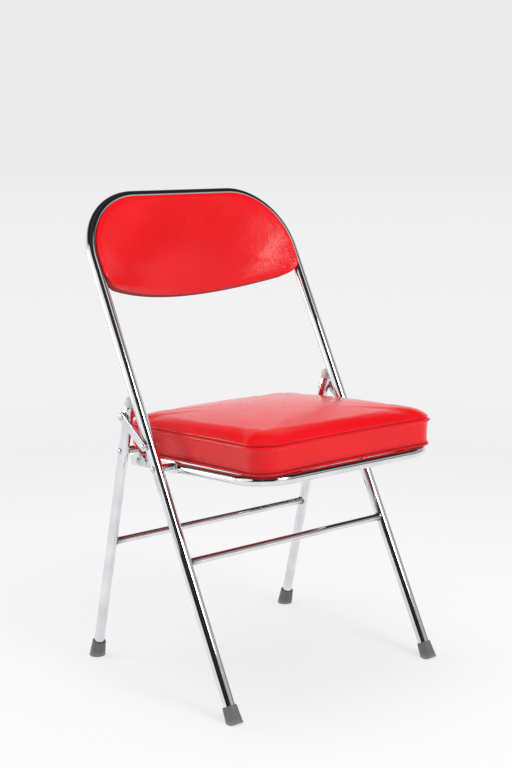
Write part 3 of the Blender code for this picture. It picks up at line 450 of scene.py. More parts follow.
def new_material(name):
    material = bpy.data.materials.get(name)
    if material:
        bpy.data.materials.remove(material)
    material = bpy.data.materials.new(name)
    material.use_nodes = True
    tree = material.node_tree
    coordinates = put(tree, "ShaderNodeTexCoord").outputs["Object"]
    return material, tree, tree.nodes["Principled BSDF"], coordinates


def noise(tree, vector, scale, detail=2.0, distortion=0.0):
    inputs = {"Vector": vector, "Scale": scale, "Detail": detail, "Distortion": distortion}
    return put(tree, "ShaderNodeTexNoise", inputs).outputs["Fac"]


def mapped(tree, value, low, high, to_low, to_high):
    inputs = {"Value": value, "From Min": low, "From Max": high, "To Min": to_low, "To Max": to_high}
    return put(tree, "ShaderNodeMapRange", inputs).outputs["Result"]


def ramp(tree, factor, *stops):
    """A colour ramp through (place, colour) stops."""
    node = put(tree, "ShaderNodeValToRGB", {"Fac": factor})
    elements = node.color_ramp.elements
    while len(elements) < len(stops):
        elements.new(0.5)
    for element, (place, tint) in zip(elements, stops):
        element.position = place
        element.color = (*tint, 1.0)
    return node.outputs["Color"]


def blended(tree, factor, first, second):
    ends = [tint if isinstance(tint, bpy.types.NodeSocket) else (*tint, 1.0) for tint in (first, second)]
    return put(tree, "ShaderNodeMix", {0: factor, 6: ends[0], 7: ends[1]}, data_type="RGBA").outputs[2]


def raised(tree, height, strength, distance, over=None):
    """A bumped normal, which may lie over another one."""
    inputs = {"Height": height, "Strength": strength, "Distance": distance}
    if over is not None:
        inputs["Normal"] = over
    return put(tree, "ShaderNodeBump", inputs).outputs["Normal"]


def chrome_material(look):
    """Bright plating: clean mirror with a faint haze, and a slow ripple left by bending and buffing."""
    material, tree, shader, place = new_material("chromed_tube")
    haze = noise(tree, place, 22.0, 4.0)
    ripple = noise(tree, place, 55.0, 1.0)
    burnt = put(tree, "ShaderNodeAttribute", attribute_name="seam").outputs["Fac"]
    set_inputs(tree, shader, {
        "Base Color": blended(tree, burnt, ramp(tree, haze, (0.40, look.chrome), (0.72, look.chrome_dull)), look.weld),
        "Metallic": 1.0,
        "Roughness": mapped(tree, haze, 0.35, 0.75, 0.035, 0.13),
        "Normal": raised(tree, ripple, 0.05, 0.0006),
    })
    return material


def zinc_material(look):
    """Plated rivets and screws: grey, satin, slightly mottled."""
    material, tree, shader, place = new_material("zinc_rivet")
    mottle = noise(tree, place, 420.0, 3.0)
    set_inputs(tree, shader, {
        "Base Color": ramp(tree, mottle, (0.30, [0.72 * c for c in look.zinc]), (0.65, look.zinc)),
        "Metallic": 1.0,
        "Roughness": mapped(tree, mottle, 0.3, 0.7, 0.12, 0.26),
        "Normal": raised(tree, mottle, 0.12, 0.0002),
    })
    return material


def vinyl_material(name, tints, crease, gloss):
    """Glossy vinyl with a pressed leather grain: pebbles parted by fine creases, over softer swells. Seams, creases and
    edges are marked by an attribute; there the colour is a painted shade, in the crease colour, and the surface is
    duller."""
    material, tree, shader, place = new_material(name)
    shift = put(tree, "ShaderNodeTexNoise", {"Vector": place, "Scale": 210.0, "Detail": 3.0}).outputs["Color"]
    bent = put(tree, "ShaderNodeMix", {0: 0.0026, 4: place, 5: shift}, data_type="VECTOR").outputs[1]
    cells = put(tree, "ShaderNodeTexVoronoi", {"Vector": bent, "Scale": 290.0}, feature="DISTANCE_TO_EDGE")
    pebbles = mapped(tree, cells.outputs["Distance"], 0.0, 0.14, 0.0, 1.0)
    swell = noise(tree, place, 125.0, 3.0)
    tone = noise(tree, place, 11.0, 3.0)
    seam = put(tree, "ShaderNodeAttribute", attribute_name="seam").outputs["Fac"]
    cover = ramp(tree, tone, (0.22, tints[1]), (0.78, tints[0]))
    even = mapped(tree, tone, 0.2, 0.8, gloss, gloss + 0.06)
    dull = mapped(tree, seam, 0.0, 0.8, 0.0, 0.6)
    fine = raised(tree, pebbles, 0.22, 0.0004)
    set_inputs(tree, shader, {
        # Painted shade: where the seam attribute is high, the colour turns to the dark crease colour.
        "Base Color": blended(tree, seam, cover, crease),
        "Roughness": joined(tree, "ADD", even, dull),
        "Specular IOR Level": 0.32,
        "Normal": raised(tree, swell, 0.24, 0.0014, fine),
    })
    return material


def rubber_material(look):
    """Dull moulded rubber, dusty towards the floor."""
    material, tree, shader, place = new_material("grey_rubber")
    height = put(tree, "ShaderNodeSeparateXYZ", {"Vector": place}).outputs["Z"]
    grime = noise(tree, place, 300.0, 4.0)
    low = mapped(tree, height, 0.0, 0.011, 0.85, 0.0)
    worn = joined(tree, "MULTIPLY", low, grime)
    set_inputs(tree, shader, {
        "Base Color": ramp(tree, worn, (0.05, look.rubber), (0.55, look.dust)),
        "Roughness": mapped(tree, grime, 0.3, 0.7, 0.50, 0.72),
        "Normal": raised(tree, grime, 0.15, 0.0003),
    })
    return material


def plastic_material(look):
    """Pale moulded plastic with a faint cloudiness."""
    material, tree, shader, place = new_material("pale_plug_plastic")
    cloud = noise(tree, place, 160.0, 3.0)
    set_inputs(tree, shader, {
        "Base Color": ramp(tree, cloud, (0.3, [0.84 * c for c in look.plastic]), (0.7, look.plastic)),
        "Roughness": mapped(tree, cloud, 0.3, 0.7, 0.32, 0.46),
        "Normal": raised(tree, cloud, 0.08, 0.0003),
    })
    return material


# Operators


class CHAIR_OT_tubes(bpy.types.Operator):
    """Lay fine chromed surfaces over the bow, the legs, the stretchers and the seat tube"""

    bl_idname = "chair.tubes"
    bl_label = "Tubes"

    def execute(self, context):
        sizes = context.scene.chair_sizes
        chrome = chrome_material(context.scene.chair_look)
        self.bow(sizes, chrome)
        self.rear_legs(sizes, chrome)
        self.stretcher("front_stretcher", FRONT_UP, FRAME_R, sizes, chrome)
        self.stretcher("rear_stretcher", REAR_UP, REAR_R, sizes, chrome)
        self.seat_tube(sizes, chrome)
        low, high = cad_box("seat_cross_bar")
        middle, radius = (low + high) / 2, (high[2] - low[2]) / 2
        path = middle + np.linspace(low[0], high[0], 24)[:, None] * ACROSS - middle[0] * ACROSS
        rows = swept(path, np.array((0.0, 0.0, 1.0)), radius)
        lay_surface("seat_cross_bar_chromed", rows, chrome, "seat_cross_bar")
        for node in frame["nodes"]:
            if "_tab_" in node:
                slots = frame["nodes"][node].data.materials
                slots.clear()
                slots.append(chrome)
        return {"FINISHED"}

    def bow(self, sizes, chrome):
        """Path: up one leg, a quarter circle at each upper corner, and down the other."""
        turn = np.linspace(0.0, math.pi / 2, 40)
        radius = sizes.bow_radius
        start = sizes.foot_length * 0.45
        bend = BACK_LENGTH - radius
        along = np.append(np.linspace(start, bend, 30)[:-1], bend + radius * np.sin(turn))
        x = np.append(np.full(29, LEG_X), LEG_X - radius + radius * np.cos(turn))
        x, along = np.append(x, -x[::-1]), np.append(along, along[::-1])
        rows = swept(on_front(x, along), FRONT_BACK, FRAME_R, 64)
        lay_surface("bow_chromed", rows, chrome, "main_frame_tube")

    def rear_legs(self, sizes, chrome):
        """Straight tubes whose top edge is slightly rounded under the plug."""
        top = REAR_LEG_UP
        along = np.append(np.linspace(0.45 * sizes.foot_length, top - 0.0006, 24), top)
        radius = np.append(np.full(24, REAR_R), REAR_R - 0.0004)
        for side, sign in SIDES:
            rows = swept(on_rear(sign * LEG_X, along), REAR_BACK, radius, 64)
            lay_surface(f"rear_leg_{side}_chromed", rows, chrome, f"rear_leg_{side}")

    def stretcher(self, node, leg_way, leg_radius, sizes, chrome):
        """A bar along X whose ends follow the leg's round side, flared by a rippled weld fillet."""
        low, high = cad_box(node)
        middle, radius = (low + high) / 2, (high[2] - low[2]) / 2
        turn = np.linspace(0.0, 2 * math.pi, 64, endpoint=False)[None, :]
        beside = np.array((0.0, leg_way[2], -leg_way[1]))
        reach = sizes.weld * np.linspace(0.0, 1.0, 9)[:, None]
        flare = 0.75 * sizes.weld * (1 - reach / sizes.weld) ** 2
        flare = flare * (1 + 0.18 * np.sin(11 * turn) + 0.1 * np.sin(5 * turn + 1.0))
        wide = radius + flare
        end = LEG_X - np.sqrt(leg_radius**2 - (wide * np.sin(turn)) ** 2) + 0.0002
        x = end - 1.6 * reach
        flat_x = np.linspace(x[-1].min(), 0.0, 14)[1:, None]
        welded, plain = (
            placed(middle * SIDE_VIEW, (ACROSS, leg_way, beside), (run, size * np.cos(turn), size * np.sin(turn)))
            for run, size in ((x, wide), (flat_x, radius))
        )
        left = np.vstack((welded, plain))
        rows = np.vstack((left, (left * (-1, 1, 1))[::-1][1:]))
        burn = np.clip(np.append(1.15 - reach / (1.6 * sizes.weld), np.zeros(len(plain))), 0.0, 1.0)
        burn = np.append(burn, burn[::-1][1:])[:, None] * np.ones(turn.shape[1])
        lay_surface(f"{node}_welded", rows, chrome, node, marks={"seam": 0.9 * burn})

    def seat_tube(self, sizes, chrome):
        """Round in front and pressed flat at the pivots: a superellipse whose thickness, height and squareness
        blend along the rail, carried round a U with quarter-circle corners."""
        low, high = seat_box("seat_frame_tube")
        half = sizes.seat_tube / 2
        rail_x, front, rear = high[0] - half, low[1] + half, high[1]
        corner = sizes.seat_corner
        begin, end = -sizes.flat_start, -sizes.flat_start - sizes.flat_blend
        back = np.concatenate((
            np.linspace(rear, begin, 12)[:-1],
            np.linspace(begin, end, 17)[:-1],
            np.linspace(end, front + corner, 8)[:-1],
        ))
        turn = np.linspace(0.0, math.pi / 2, 28)
        way = np.vstack((
            np.tile((1.0, 0.0), (len(back), 1)),
            np.column_stack((np.cos(turn), -np.sin(turn))),
        ))
        x = np.append(np.full(len(back), rail_x), rail_x - corner + corner * np.cos(turn))
        back = np.append(back, front + corner - corner * np.sin(turn))
        x, back = np.append(x, -x[::-1]), np.append(back, back[::-1])
        way = np.vstack((way, way[::-1] * (-1, 1)))
        blend = np.clip((back - end) / sizes.flat_blend, 0.0, 1.0)
        blend = (blend * blend * (3 - 2 * blend))[:, None]
        thick = half + blend * (sizes.flat_thick / 2 - half)
        tall = half + blend * (sizes.flat_height / 2 - half)
        power = 2 / (2 + 2.5 * blend)
        angle = np.linspace(0.0, 2 * math.pi, 64, endpoint=False)[None, :]
        out = thick * np.sign(np.cos(angle)) * np.abs(np.cos(angle)) ** power
        up = tall * np.sign(np.sin(angle)) * np.abs(np.sin(angle)) ** power
        rows = on_seat(x[:, None] + out * way[:, :1], back[:, None] + out * way[:, 1:], up)
        lay_surface("seat_frame_chromed", rows, chrome, "seat_frame_tube")


class CHAIR_OT_hardware(bpy.types.Operator):
    """Lay fine surfaces over the links, ears, rivets, spacers, washers, pins and screws"""

    bl_idname = "chair.hardware"
    bl_label = "Hardware"

    def execute(self, context):
        sizes, look = context.scene.chair_sizes, context.scene.chair_look
        chrome, zinc = bpy.data.materials["chromed_tube"], zinc_material(look)
        for side, sign in SIDES:
            self.link(side, sizes, chrome)
            self.ear(side, sizes, chrome)
            for place in ("seat_pivot", "link_pivot", "seat_ear", "rear_pivot"):
                self.rivet(f"{place}_rivet_{side}", sign, sizes, zinc)
            for node in (f"seat_pivot_spacer_{side}", f"rear_pivot_spacer_{side}", f"link_pivot_washer_{side}"):
                self.ring(node, sign, sizes, zinc)
            self.link_rivet(side, sign, sizes, zinc)
            self.pin(side, sign, sizes, zinc)
            for row in ("front", "rear"):
                self.screw(f"seat_screw_{row}_{side}", -SEAT_UP, zinc)
            for row in ("top", "side"):
                way = cad_normal(f"back_tab_{row}_{side}")
                self.screw(f"back_screw_{row}_{side}", way * np.sign(way @ FRONT_BACK), zinc)
        return {"FINISHED"}

    def link(self, side, sizes, chrome):
        low, high = cad_box(f"link_{side}")
        foot = JOINT_AT[f"link_fold_{side}"]
        top = cad_centre(f"link_top_rivet_{side}") * SIDE_VIEW
        along = unit(top - foot)
        wide = sizes.link_width / 2
        circles = (((0.0, 0.0), wide), ((np.linalg.norm(top - foot), 0.0), wide))
        rows = plate_rows(lambda inset: circle_hull(circles, inset), high[0] - low[0], sizes.plate_edge, 0.7 * wide)
        beside = np.array((0.0, -along[2], along[1]))
        origin = foot + (low[0] + high[0]) / 2 * ACROSS
        rows = placed(origin, (along, beside, ACROSS), np.moveaxis(rows, -1, 0))
        lay_surface(f"link_{side}_plated", rows, chrome, f"link_{side}")

    def ear(self, side, sizes, chrome):
        low, high = cad_box(f"seat_ear_{side}")
        axes = np.stack((SEAT_BACK, SEAT_UP), axis=1)
        pivot = (JOINT_AT["rear_leg_fold"] - SEAT_PIVOT) @ axes
        join = (cad_centre(f"seat_ear_rivet_{side}") - SEAT_PIVOT) @ axes
        least, most = seat_box(f"seat_ear_{side}")
        foot = 0.85 * sizes.flat_height / 2
        circles = ((pivot, most[2] - pivot[1]), ((least[1] + foot, join[1]), foot), (join, foot))
        rows = plate_rows(lambda inset: circle_hull(circles, inset), high[0] - low[0], sizes.plate_edge, 0.7 * foot)
        origin = SEAT_PIVOT + (low[0] + high[0]) / 2 * ACROSS
        rows = placed(origin, (SEAT_BACK, SEAT_UP, ACROSS), np.moveaxis(rows, -1, 0))
        lay_surface(f"seat_ear_{side}_plated", rows, chrome, f"seat_ear_{side}")

    def dome(self, head, seat, height):
        """A rivet's head as (radius, height): an ellipse's quarter from near the pole down to its seat."""
        angle = np.linspace(0.1, math.pi / 2, 10)
        return np.column_stack((head * np.sin(angle), seat + height * np.cos(angle)))

    def rivet(self, node, sign, sizes, zinc):
        """Domed outside, flattened inside where it was set."""
        axis = sign * ACROSS
        middle, low, high, head = cad_span(node, axis)
        outer, inner, shank = high - sizes.rivet_head, low + 0.9 * sizes.rivet_head, sizes.rivet_shank
        tail = ((shank, outer), (shank, inner), (head, inner), (0.9 * head, low + 0.0005), (0.6 * head, low))
        tail = np.vstack((tail, ((0.1 * head, low + 0.0002),)))
        profile = np.vstack((self.dome(head, outer, sizes.rivet_head), eased(tail, 0.0005)))
        lay_surface(f"{node}_domed", turned(profile, middle, axis), zinc, node, crease=50.0)

    def link_rivet(self, side, sign, sizes, zinc):
        """Domed over the link, with the collar that spaces the link off the leg."""
        node, axis = f"link_top_rivet_{side}", sign * ACROSS
        middle, low, high, head = cad_span(node, axis)
        link = np.sort(np.array(cad_box(f"link_{side}"))[:, 0] * sign) - middle[0] * sign
        outer, shank = high - sizes.rivet_head, sizes.rivet_shank
        below = ((shank, outer), (shank, link[0] - 0.0003), (head, link[0] - 0.0003), (head, low), (0.2 * head, low))
        profile = np.vstack((self.dome(head, outer, sizes.rivet_head), eased(below, 0.0004)))
        lay_surface(f"{node}_domed", turned(profile, middle, axis), zinc, node, crease=50.0)

    def pin(self, side, sign, sizes, zinc):
        """The link's pin through the rear leg, with its head inside."""
        node, axis = f"link_top_pin_{side}", sign * ACROSS
        middle, low, high, head = cad_span(node, axis)
        seat, shank = low + 0.8 * sizes.rivet_head, sizes.rivet_shank
        line = ((0.2 * shank, high), (shank, high), (shank, seat), (head, seat), (0.8 * head, low), (0.1 * head, low))
        rows = turned(eased(line, 0.0005), middle, axis)
        lay_surface(f"{node}_headed", rows, zinc, node, crease=50.0)

    def ring(self, node, sign, sizes, zinc):
        """A plain bush or washer with broken edges."""
        axis = sign * ACROSS
        middle, low, high, wide = cad_span(node, axis)
        bore = sizes.rivet_shank + 0.0003
        line = eased(((wide, high), (wide, low), (bore, low), (bore, high)), 0.0004, looped=True)
        lay_surface(f"{node}_turned", turned(line, middle, axis), zinc, node, looped=True, crease=50.0)

    def screw(self, node, axis, zinc):
        """A pan head with a cross recess: the recess is cut where either arm of the cross covers the point."""
        middle, low, high, head = cad_span(node, axis)
        seat = high - 0.0025
        shank = 0.44 * head
        radii = np.concatenate((np.linspace(0.04, 0.9, 18), (0.96, 0.99, 1.0))) * head
        heights = seat + (high - seat) * np.sqrt(np.clip(1 - 0.93 * (radii / head) ** 4, 0.0, 1.0))
        top = np.column_stack((radii, heights))
        body = ((head, seat), (shank, seat), (shank, low + 0.0015), (0.15 * shank, low))
        profile = np.vstack((top, eased(body, 0.0003)))
        rows = turned(profile, middle, axis, 72)
        turn = np.linspace(0.0, 2 * math.pi, 72, endpoint=False)[None, :]
        arm = np.abs(np.minimum(np.abs(np.cos(turn)), np.abs(np.sin(turn)))) * radii[:, None]
        covered = np.clip(1.6 - arm / (0.11 * head), 0.0, 1.0)
        within = np.clip((0.62 * head - radii[:, None]) / (0.2 * head), 0.0, 1.0)
        rows[: len(radii)] -= 0.0013 * (covered * within)[..., None] * axis
        lay_surface(f"{node}_crossed", rows, zinc, node, crease=50.0)


class CHAIR_OT_feet(bpy.types.Operator):
    """Lay rubber over the four feet and pale plastic over the plugs of the rear legs"""

    bl_idname = "chair.feet"
    bl_label = "Feet and Plugs"

    def execute(self, context):
        sizes, look = context.scene.chair_sizes, context.scene.chair_look
        rubber, plastic = rubber_material(look), plastic_material(look)
        for side, sign in SIDES:
            self.foot(f"front_foot_{side}", sign, FRONT_FOOT, FRONT_UP, FRAME_R, sizes, rubber)
            self.foot(f"rear_foot_{side}", sign, REAR_FOOT, REAR_UP, REAR_R, sizes, rubber)
            self.plug(f"rear_leg_plug_{side}", sizes, plastic)
        return {"FINISHED"}

    def foot(self, node, sign, base, up, tube, sizes, rubber):
        """A tapered cup tight round the tube, flattened where it meets the floor. Its side is a straight cone less
        three shallow grooves, each a bell curve of the height."""
        points = cad_points(node) - base - sign * LEG_X * ACROSS
        end = (points @ up).max() - sizes.foot_length
        top, wide, long = sizes.foot_top / 2, sizes.foot_wide / 2, sizes.foot_length
        mouth = ((tube - 0.0006, long - 0.003), (tube + 0.0002, long - 0.0004), (top - 0.0002, long))
        height = np.linspace(long - 0.0012, 0.0024, 48)
        grooves = np.exp(-(((height[:, None] - long * np.array((0.21, 0.38, 0.54))) / 0.0006) ** 2)).sum(axis=1)
        side = np.column_stack((wide + (top - wide) * height / long - 0.0005 * grooves, height))
        base_line = ((wide, 0.0), (0.25 * wide, 0.0))
        line = np.vstack((eased((*mouth, side[0]), 0.0005), side[1:-1], eased((side[-1], *base_line), 0.0016)))
        rows = turned(line, base + end * up + sign * LEG_X * ACROSS, up, 64)
        rows[..., 2] = np.maximum(rows[..., 2], 0.0)
        lay_surface(f"{node}_moulded", rows, rubber, node, crease=60.0)

    def plug(self, node, sizes, plastic):
        """A round dome on a short sleeve as wide as the tube, with a tail inside it."""
        middle, low, high, wide = cad_span(node, REAR_UP)
        angle = np.linspace(0.08, math.pi / 2, 14)
        dome = np.column_stack((wide * np.sin(angle), high - wide + wide * np.cos(angle)))
        foot = high - wide - sizes.plug_sleeve + 0.0003
        tail = ((wide, high - wide), (wide, foot), (0.82 * wide, foot), (0.82 * wide, low), (0.1 * wide, low))
        profile = np.vstack((dome[:-1], eased(tail, 0.0004)))
        lay_surface(f"{node}_moulded", turned(profile, middle, REAR_UP, 64), plastic, node, crease=50.0)


class CHAIR_OT_cushion(bpy.types.Operator):
    """Upholster the seat: a filled cover with a sewn band, its piping, and the board below"""

    bl_idname = "chair.cushion"
    bl_label = "Seat Cushion"

    def execute(self, context):
        sizes, look = context.scene.cushion_sizes, context.scene.chair_look
        vinyl = vinyl_material("red_vinyl", (look.vinyl, look.vinyl_deep), look.crease, 0.15)
        piping_out = 0.2 * sizes.piping
        low, high = seat_box("seat_cushion")
        self.front, self.rear = low[1] + piping_out, high[1] - piping_out
        self.half, self.foot = high[0] - piping_out, low[2]
        self.cover(sizes, vinyl)
        self.piping(sizes, vinyl)
        # Painted shade: the board below the seat is covered in a darker copy of the red vinyl, as the shade under the
        # seat.
        under = vinyl_material("red_vinyl_under_painted_shade", (look.under, look.under_deep), look.crease, 0.40)
        self.board(sizes, under)
        return {"FINISHED"}

    def outline(self, sizes):
        """The cushion's outline from above as (x, back), with the ways inward and how far round a corner each is."""
        points, inward = rounded_outline(
            (-self.half, self.front), (self.half, self.rear), sizes.corner, sizes.corner, 18, 18, 96, 88
        )
        rearward = (points[:, 1:] - self.front) / (self.rear - self.front)
        corner = 4 * (inward[:, 0] * inward[:, 1]) ** 2
        inside = np.clip(1 - np.abs(points[:, :1]) / (self.half - sizes.corner), 0.0, 1.0)
        middle = (self.front + self.rear) / 2
        run = (self.rear - self.front) / 2 - sizes.corner
        beside = np.clip(1 - np.abs(points[:, 1:] - middle) / run, 0.0, 1.0)
        bow = np.where(np.abs(inward[:, :1]) > 0.999, beside, np.where(np.abs(inward[:, 1:]) > 0.999, inside, 0.0))
        points = points + sizes.draw * (1 - (1 - bow) ** 2) * inward
        points[:, :1] *= 1 - rearward * sizes.taper / self.half
        return points, inward, corner

    def cover(self, sizes, vinyl):
        """Rings of the outline, each moved inward and up by a profile, then drawn to the middle over the crown, where
        they turn from rounded rectangles into ellipses.

        The profile is a smooth curve through knots of (inward, up, share of the size). Beside the seam it dips by a
        bell curve between two lips, and near the corners the lips gather in small waves.
        """
        points, inward, corner = self.outline(sizes)
        foot, seam, crown = self.foot, self.foot + sizes.band, sizes.crown
        scale = 0.16
        knots = [
            (sizes.board_inset, foot + 0.0006, scale),
            (0.0070, foot + 0.0001, scale),
            (0.0035, foot + 0.0012, scale),
            (0.0027, foot + 0.0060, scale),
            (0.0025, foot + 0.28 * sizes.band, scale),
            (0.0022, foot + 0.46 * sizes.band, scale),
            (0.0015, foot + 0.70 * sizes.band, scale),
            (0.0011, seam - 0.0060, scale),
            (0.0013, seam - 0.0025, scale),
            (0.0017, seam, scale),
            (0.0022, seam + 0.0024, scale),
            (0.0034, seam + 0.0056, scale),
            (0.0058, seam + 0.0088, scale),
            (0.0100, seam + 0.50 * crown, scale),
            (0.0165, seam + 0.64 * crown, scale),
            (0.0240, seam + 0.74 * crown, scale),
        ]
        for part in (0.95, 0.88, 0.78, 0.64, 0.48, 0.32, 0.16, 0.04):
            knots.append((0.0240, seam + crown * (0.74 + 0.26 * (1 - part**2)), part * scale))
        runs = knot_runs(knots)
        at_seam = runs[9]
        spots = np.concatenate((
            np.linspace(0.0, at_seam - 0.009, 22)[:-1],
            at_seam + 0.001 * np.array((-9.0, -7.0, -5.4, -4.2, -3.3, -2.6, -2.0, -1.5, -1.1, -0.75, -0.4)),
            at_seam + 0.001 * np.array((0.0, 0.4, 0.75, 1.1, 1.5, 2.0, 2.6, 3.3, 4.2, 5.4, 7.0)),
            np.linspace(at_seam + 0.009, runs[-1], 64),
        ))
        inset, up, part = flowing(knots, spots).T
        part = (part / scale)[:, None]
        past = (spots - at_seam)[:, None]
        middle = np.array((0.0, (self.front + self.rear) / 2))
        flat = points + inset[:, None, None] * inward - middle
        reach = np.abs(flat).max(axis=1, keepdims=True)
        beyond = np.linalg.norm(flat / reach, axis=-1)
        rounder = np.clip(0.28 * (inset[:, None] - 0.003) / 0.021, 0.0, 0.28) + 0.72 * (1 - part)
        flat = middle + (part * (1 - rounder + rounder / beyond))[..., None] * flat
        rows = on_seat(flat[..., 0], flat[..., 1], up[:, None])
        held = np.broadcast_to((np.abs(past) < 0.0006) | (past < 0.012 - at_seam), rows.shape[:2])
        rows = inflated(rows, held, 4.0, sizes.give)

        along = knot_runs(points)[None, :]
        near = np.exp(-((along[..., None] - along[0, corner > 0.99].reshape(1, 1, -1)) / 0.045) ** 2).max(axis=-1)
        groove = sizes.seam_depth * np.exp(-((past / 0.0010) ** 2))
        gather = 1 + 0.5 * near * np.sin(along * 640.0 + 1.3 * np.sin(along * 97.0))
        lips = 0.7 * np.exp(-(((past - 0.0030) / 0.0018) ** 2)) + 1.5 * np.exp(-(((past + 0.0038) / 0.0026) ** 2))
        crease = np.exp(-(((past + 0.0085) / 0.0050) ** 2)) * near * np.sin(along * 420.0 + 0.8)
        inward3 = placed(np.zeros(3), (ACROSS, SEAT_BACK), (inward[:, 0], inward[:, 1]))
        puffed = sizes.seam_lip * (1 + 2.4 * near) * gather * lips
        push = groove - puffed + 0.0004 * crease - self.pleats(points, up, seam)
        rows = rows + push[..., None] * inward3
        # Painted shade: the seam's groove, the cover tucked under the cushion and the line above the piping are
        # coloured darker, where shade falls.
        seam_shade = 0.75 * np.exp(-((past / 0.0007) ** 2)) * np.ones_like(along)
        tuck_shade = np.clip(1 - spots[:, None] / 0.020, 0.0, 1.0) * np.ones_like(along)
        foot_shade = 0.8 * np.exp(-(((up - foot - sizes.piping) / 0.0011) ** 2)) * (spots < at_seam)
        marks = {"seam": np.clip(seam_shade + 0.6 * tuck_shade + foot_shade[:, None], 0.0, 1.0)}
        cover = lay_surface("seat_cover_filled", rows, vinyl, "seat_cushion", crease=75.0, marks=marks)

    def pleats(self, points, up, seam):
        """Outward push of the fold that runs down and forward from the seam at each rear corner: a ridge along a
        slanting line with a hollow behind it, fading at the seam and at the band's foot."""
        before = (self.rear - 0.036 - points[:, 1])[None, :]
        below = (seam - up)[:, None]
        off = before - 1.25 * below
        fold = 0.0012 * np.exp(-((off / 0.005) ** 2)) - 0.0024 * np.exp(-(((off + 0.015) / 0.010) ** 2))
        return fold * np.clip(below / 0.006, 0.0, 1.0) * np.clip((0.040 - below) / 0.012, 0.0, 1.0)

    def piping(self, sizes, vinyl):
        """A cord in vinyl round the foot of the band, a little uneven along its length."""
        points, inward, _ = self.outline(sizes)
        radius = sizes.piping / 2
        run = np.linspace(0.0, 2 * math.pi, len(points), endpoint=False)
        sway = 0.00025 * (np.sin(23 * run) + np.sin(41 * run + 0.7))
        path = points + (0.0019 + sway[:, None]) * inward
        thick = radius * (1 + 0.03 * np.sin(67 * run))
        rows = swept(on_seat(path[:, 0], path[:, 1], self.foot + radius), SEAT_UP, thick, 20, looped=True)
        # Painted shade: the whole piping is coloured a little darker, as the shade at the foot of the band.
        marks = {"seam": np.full(rows.shape[:2], 0.25)}
        lay_surface("seat_piping", rows, vinyl, "seat_cushion", stands=False, looped=True, marks=marks)

    def board(self, sizes, vinyl):
        points, inward, _ = self.outline(sizes)
        low, high = seat_box("seat_board")
        rows = plate_rows(
            lambda inset: points + (sizes.board_inset + inset) * inward, high[2] - low[2], 0.0006, 0.012
        )
        rows = on_seat(rows[..., 0], rows[..., 1], rows[..., 2] + (low[2] + high[2]) / 2)
        lay_surface("seat_board_covered", rows, vinyl, "seat_board")


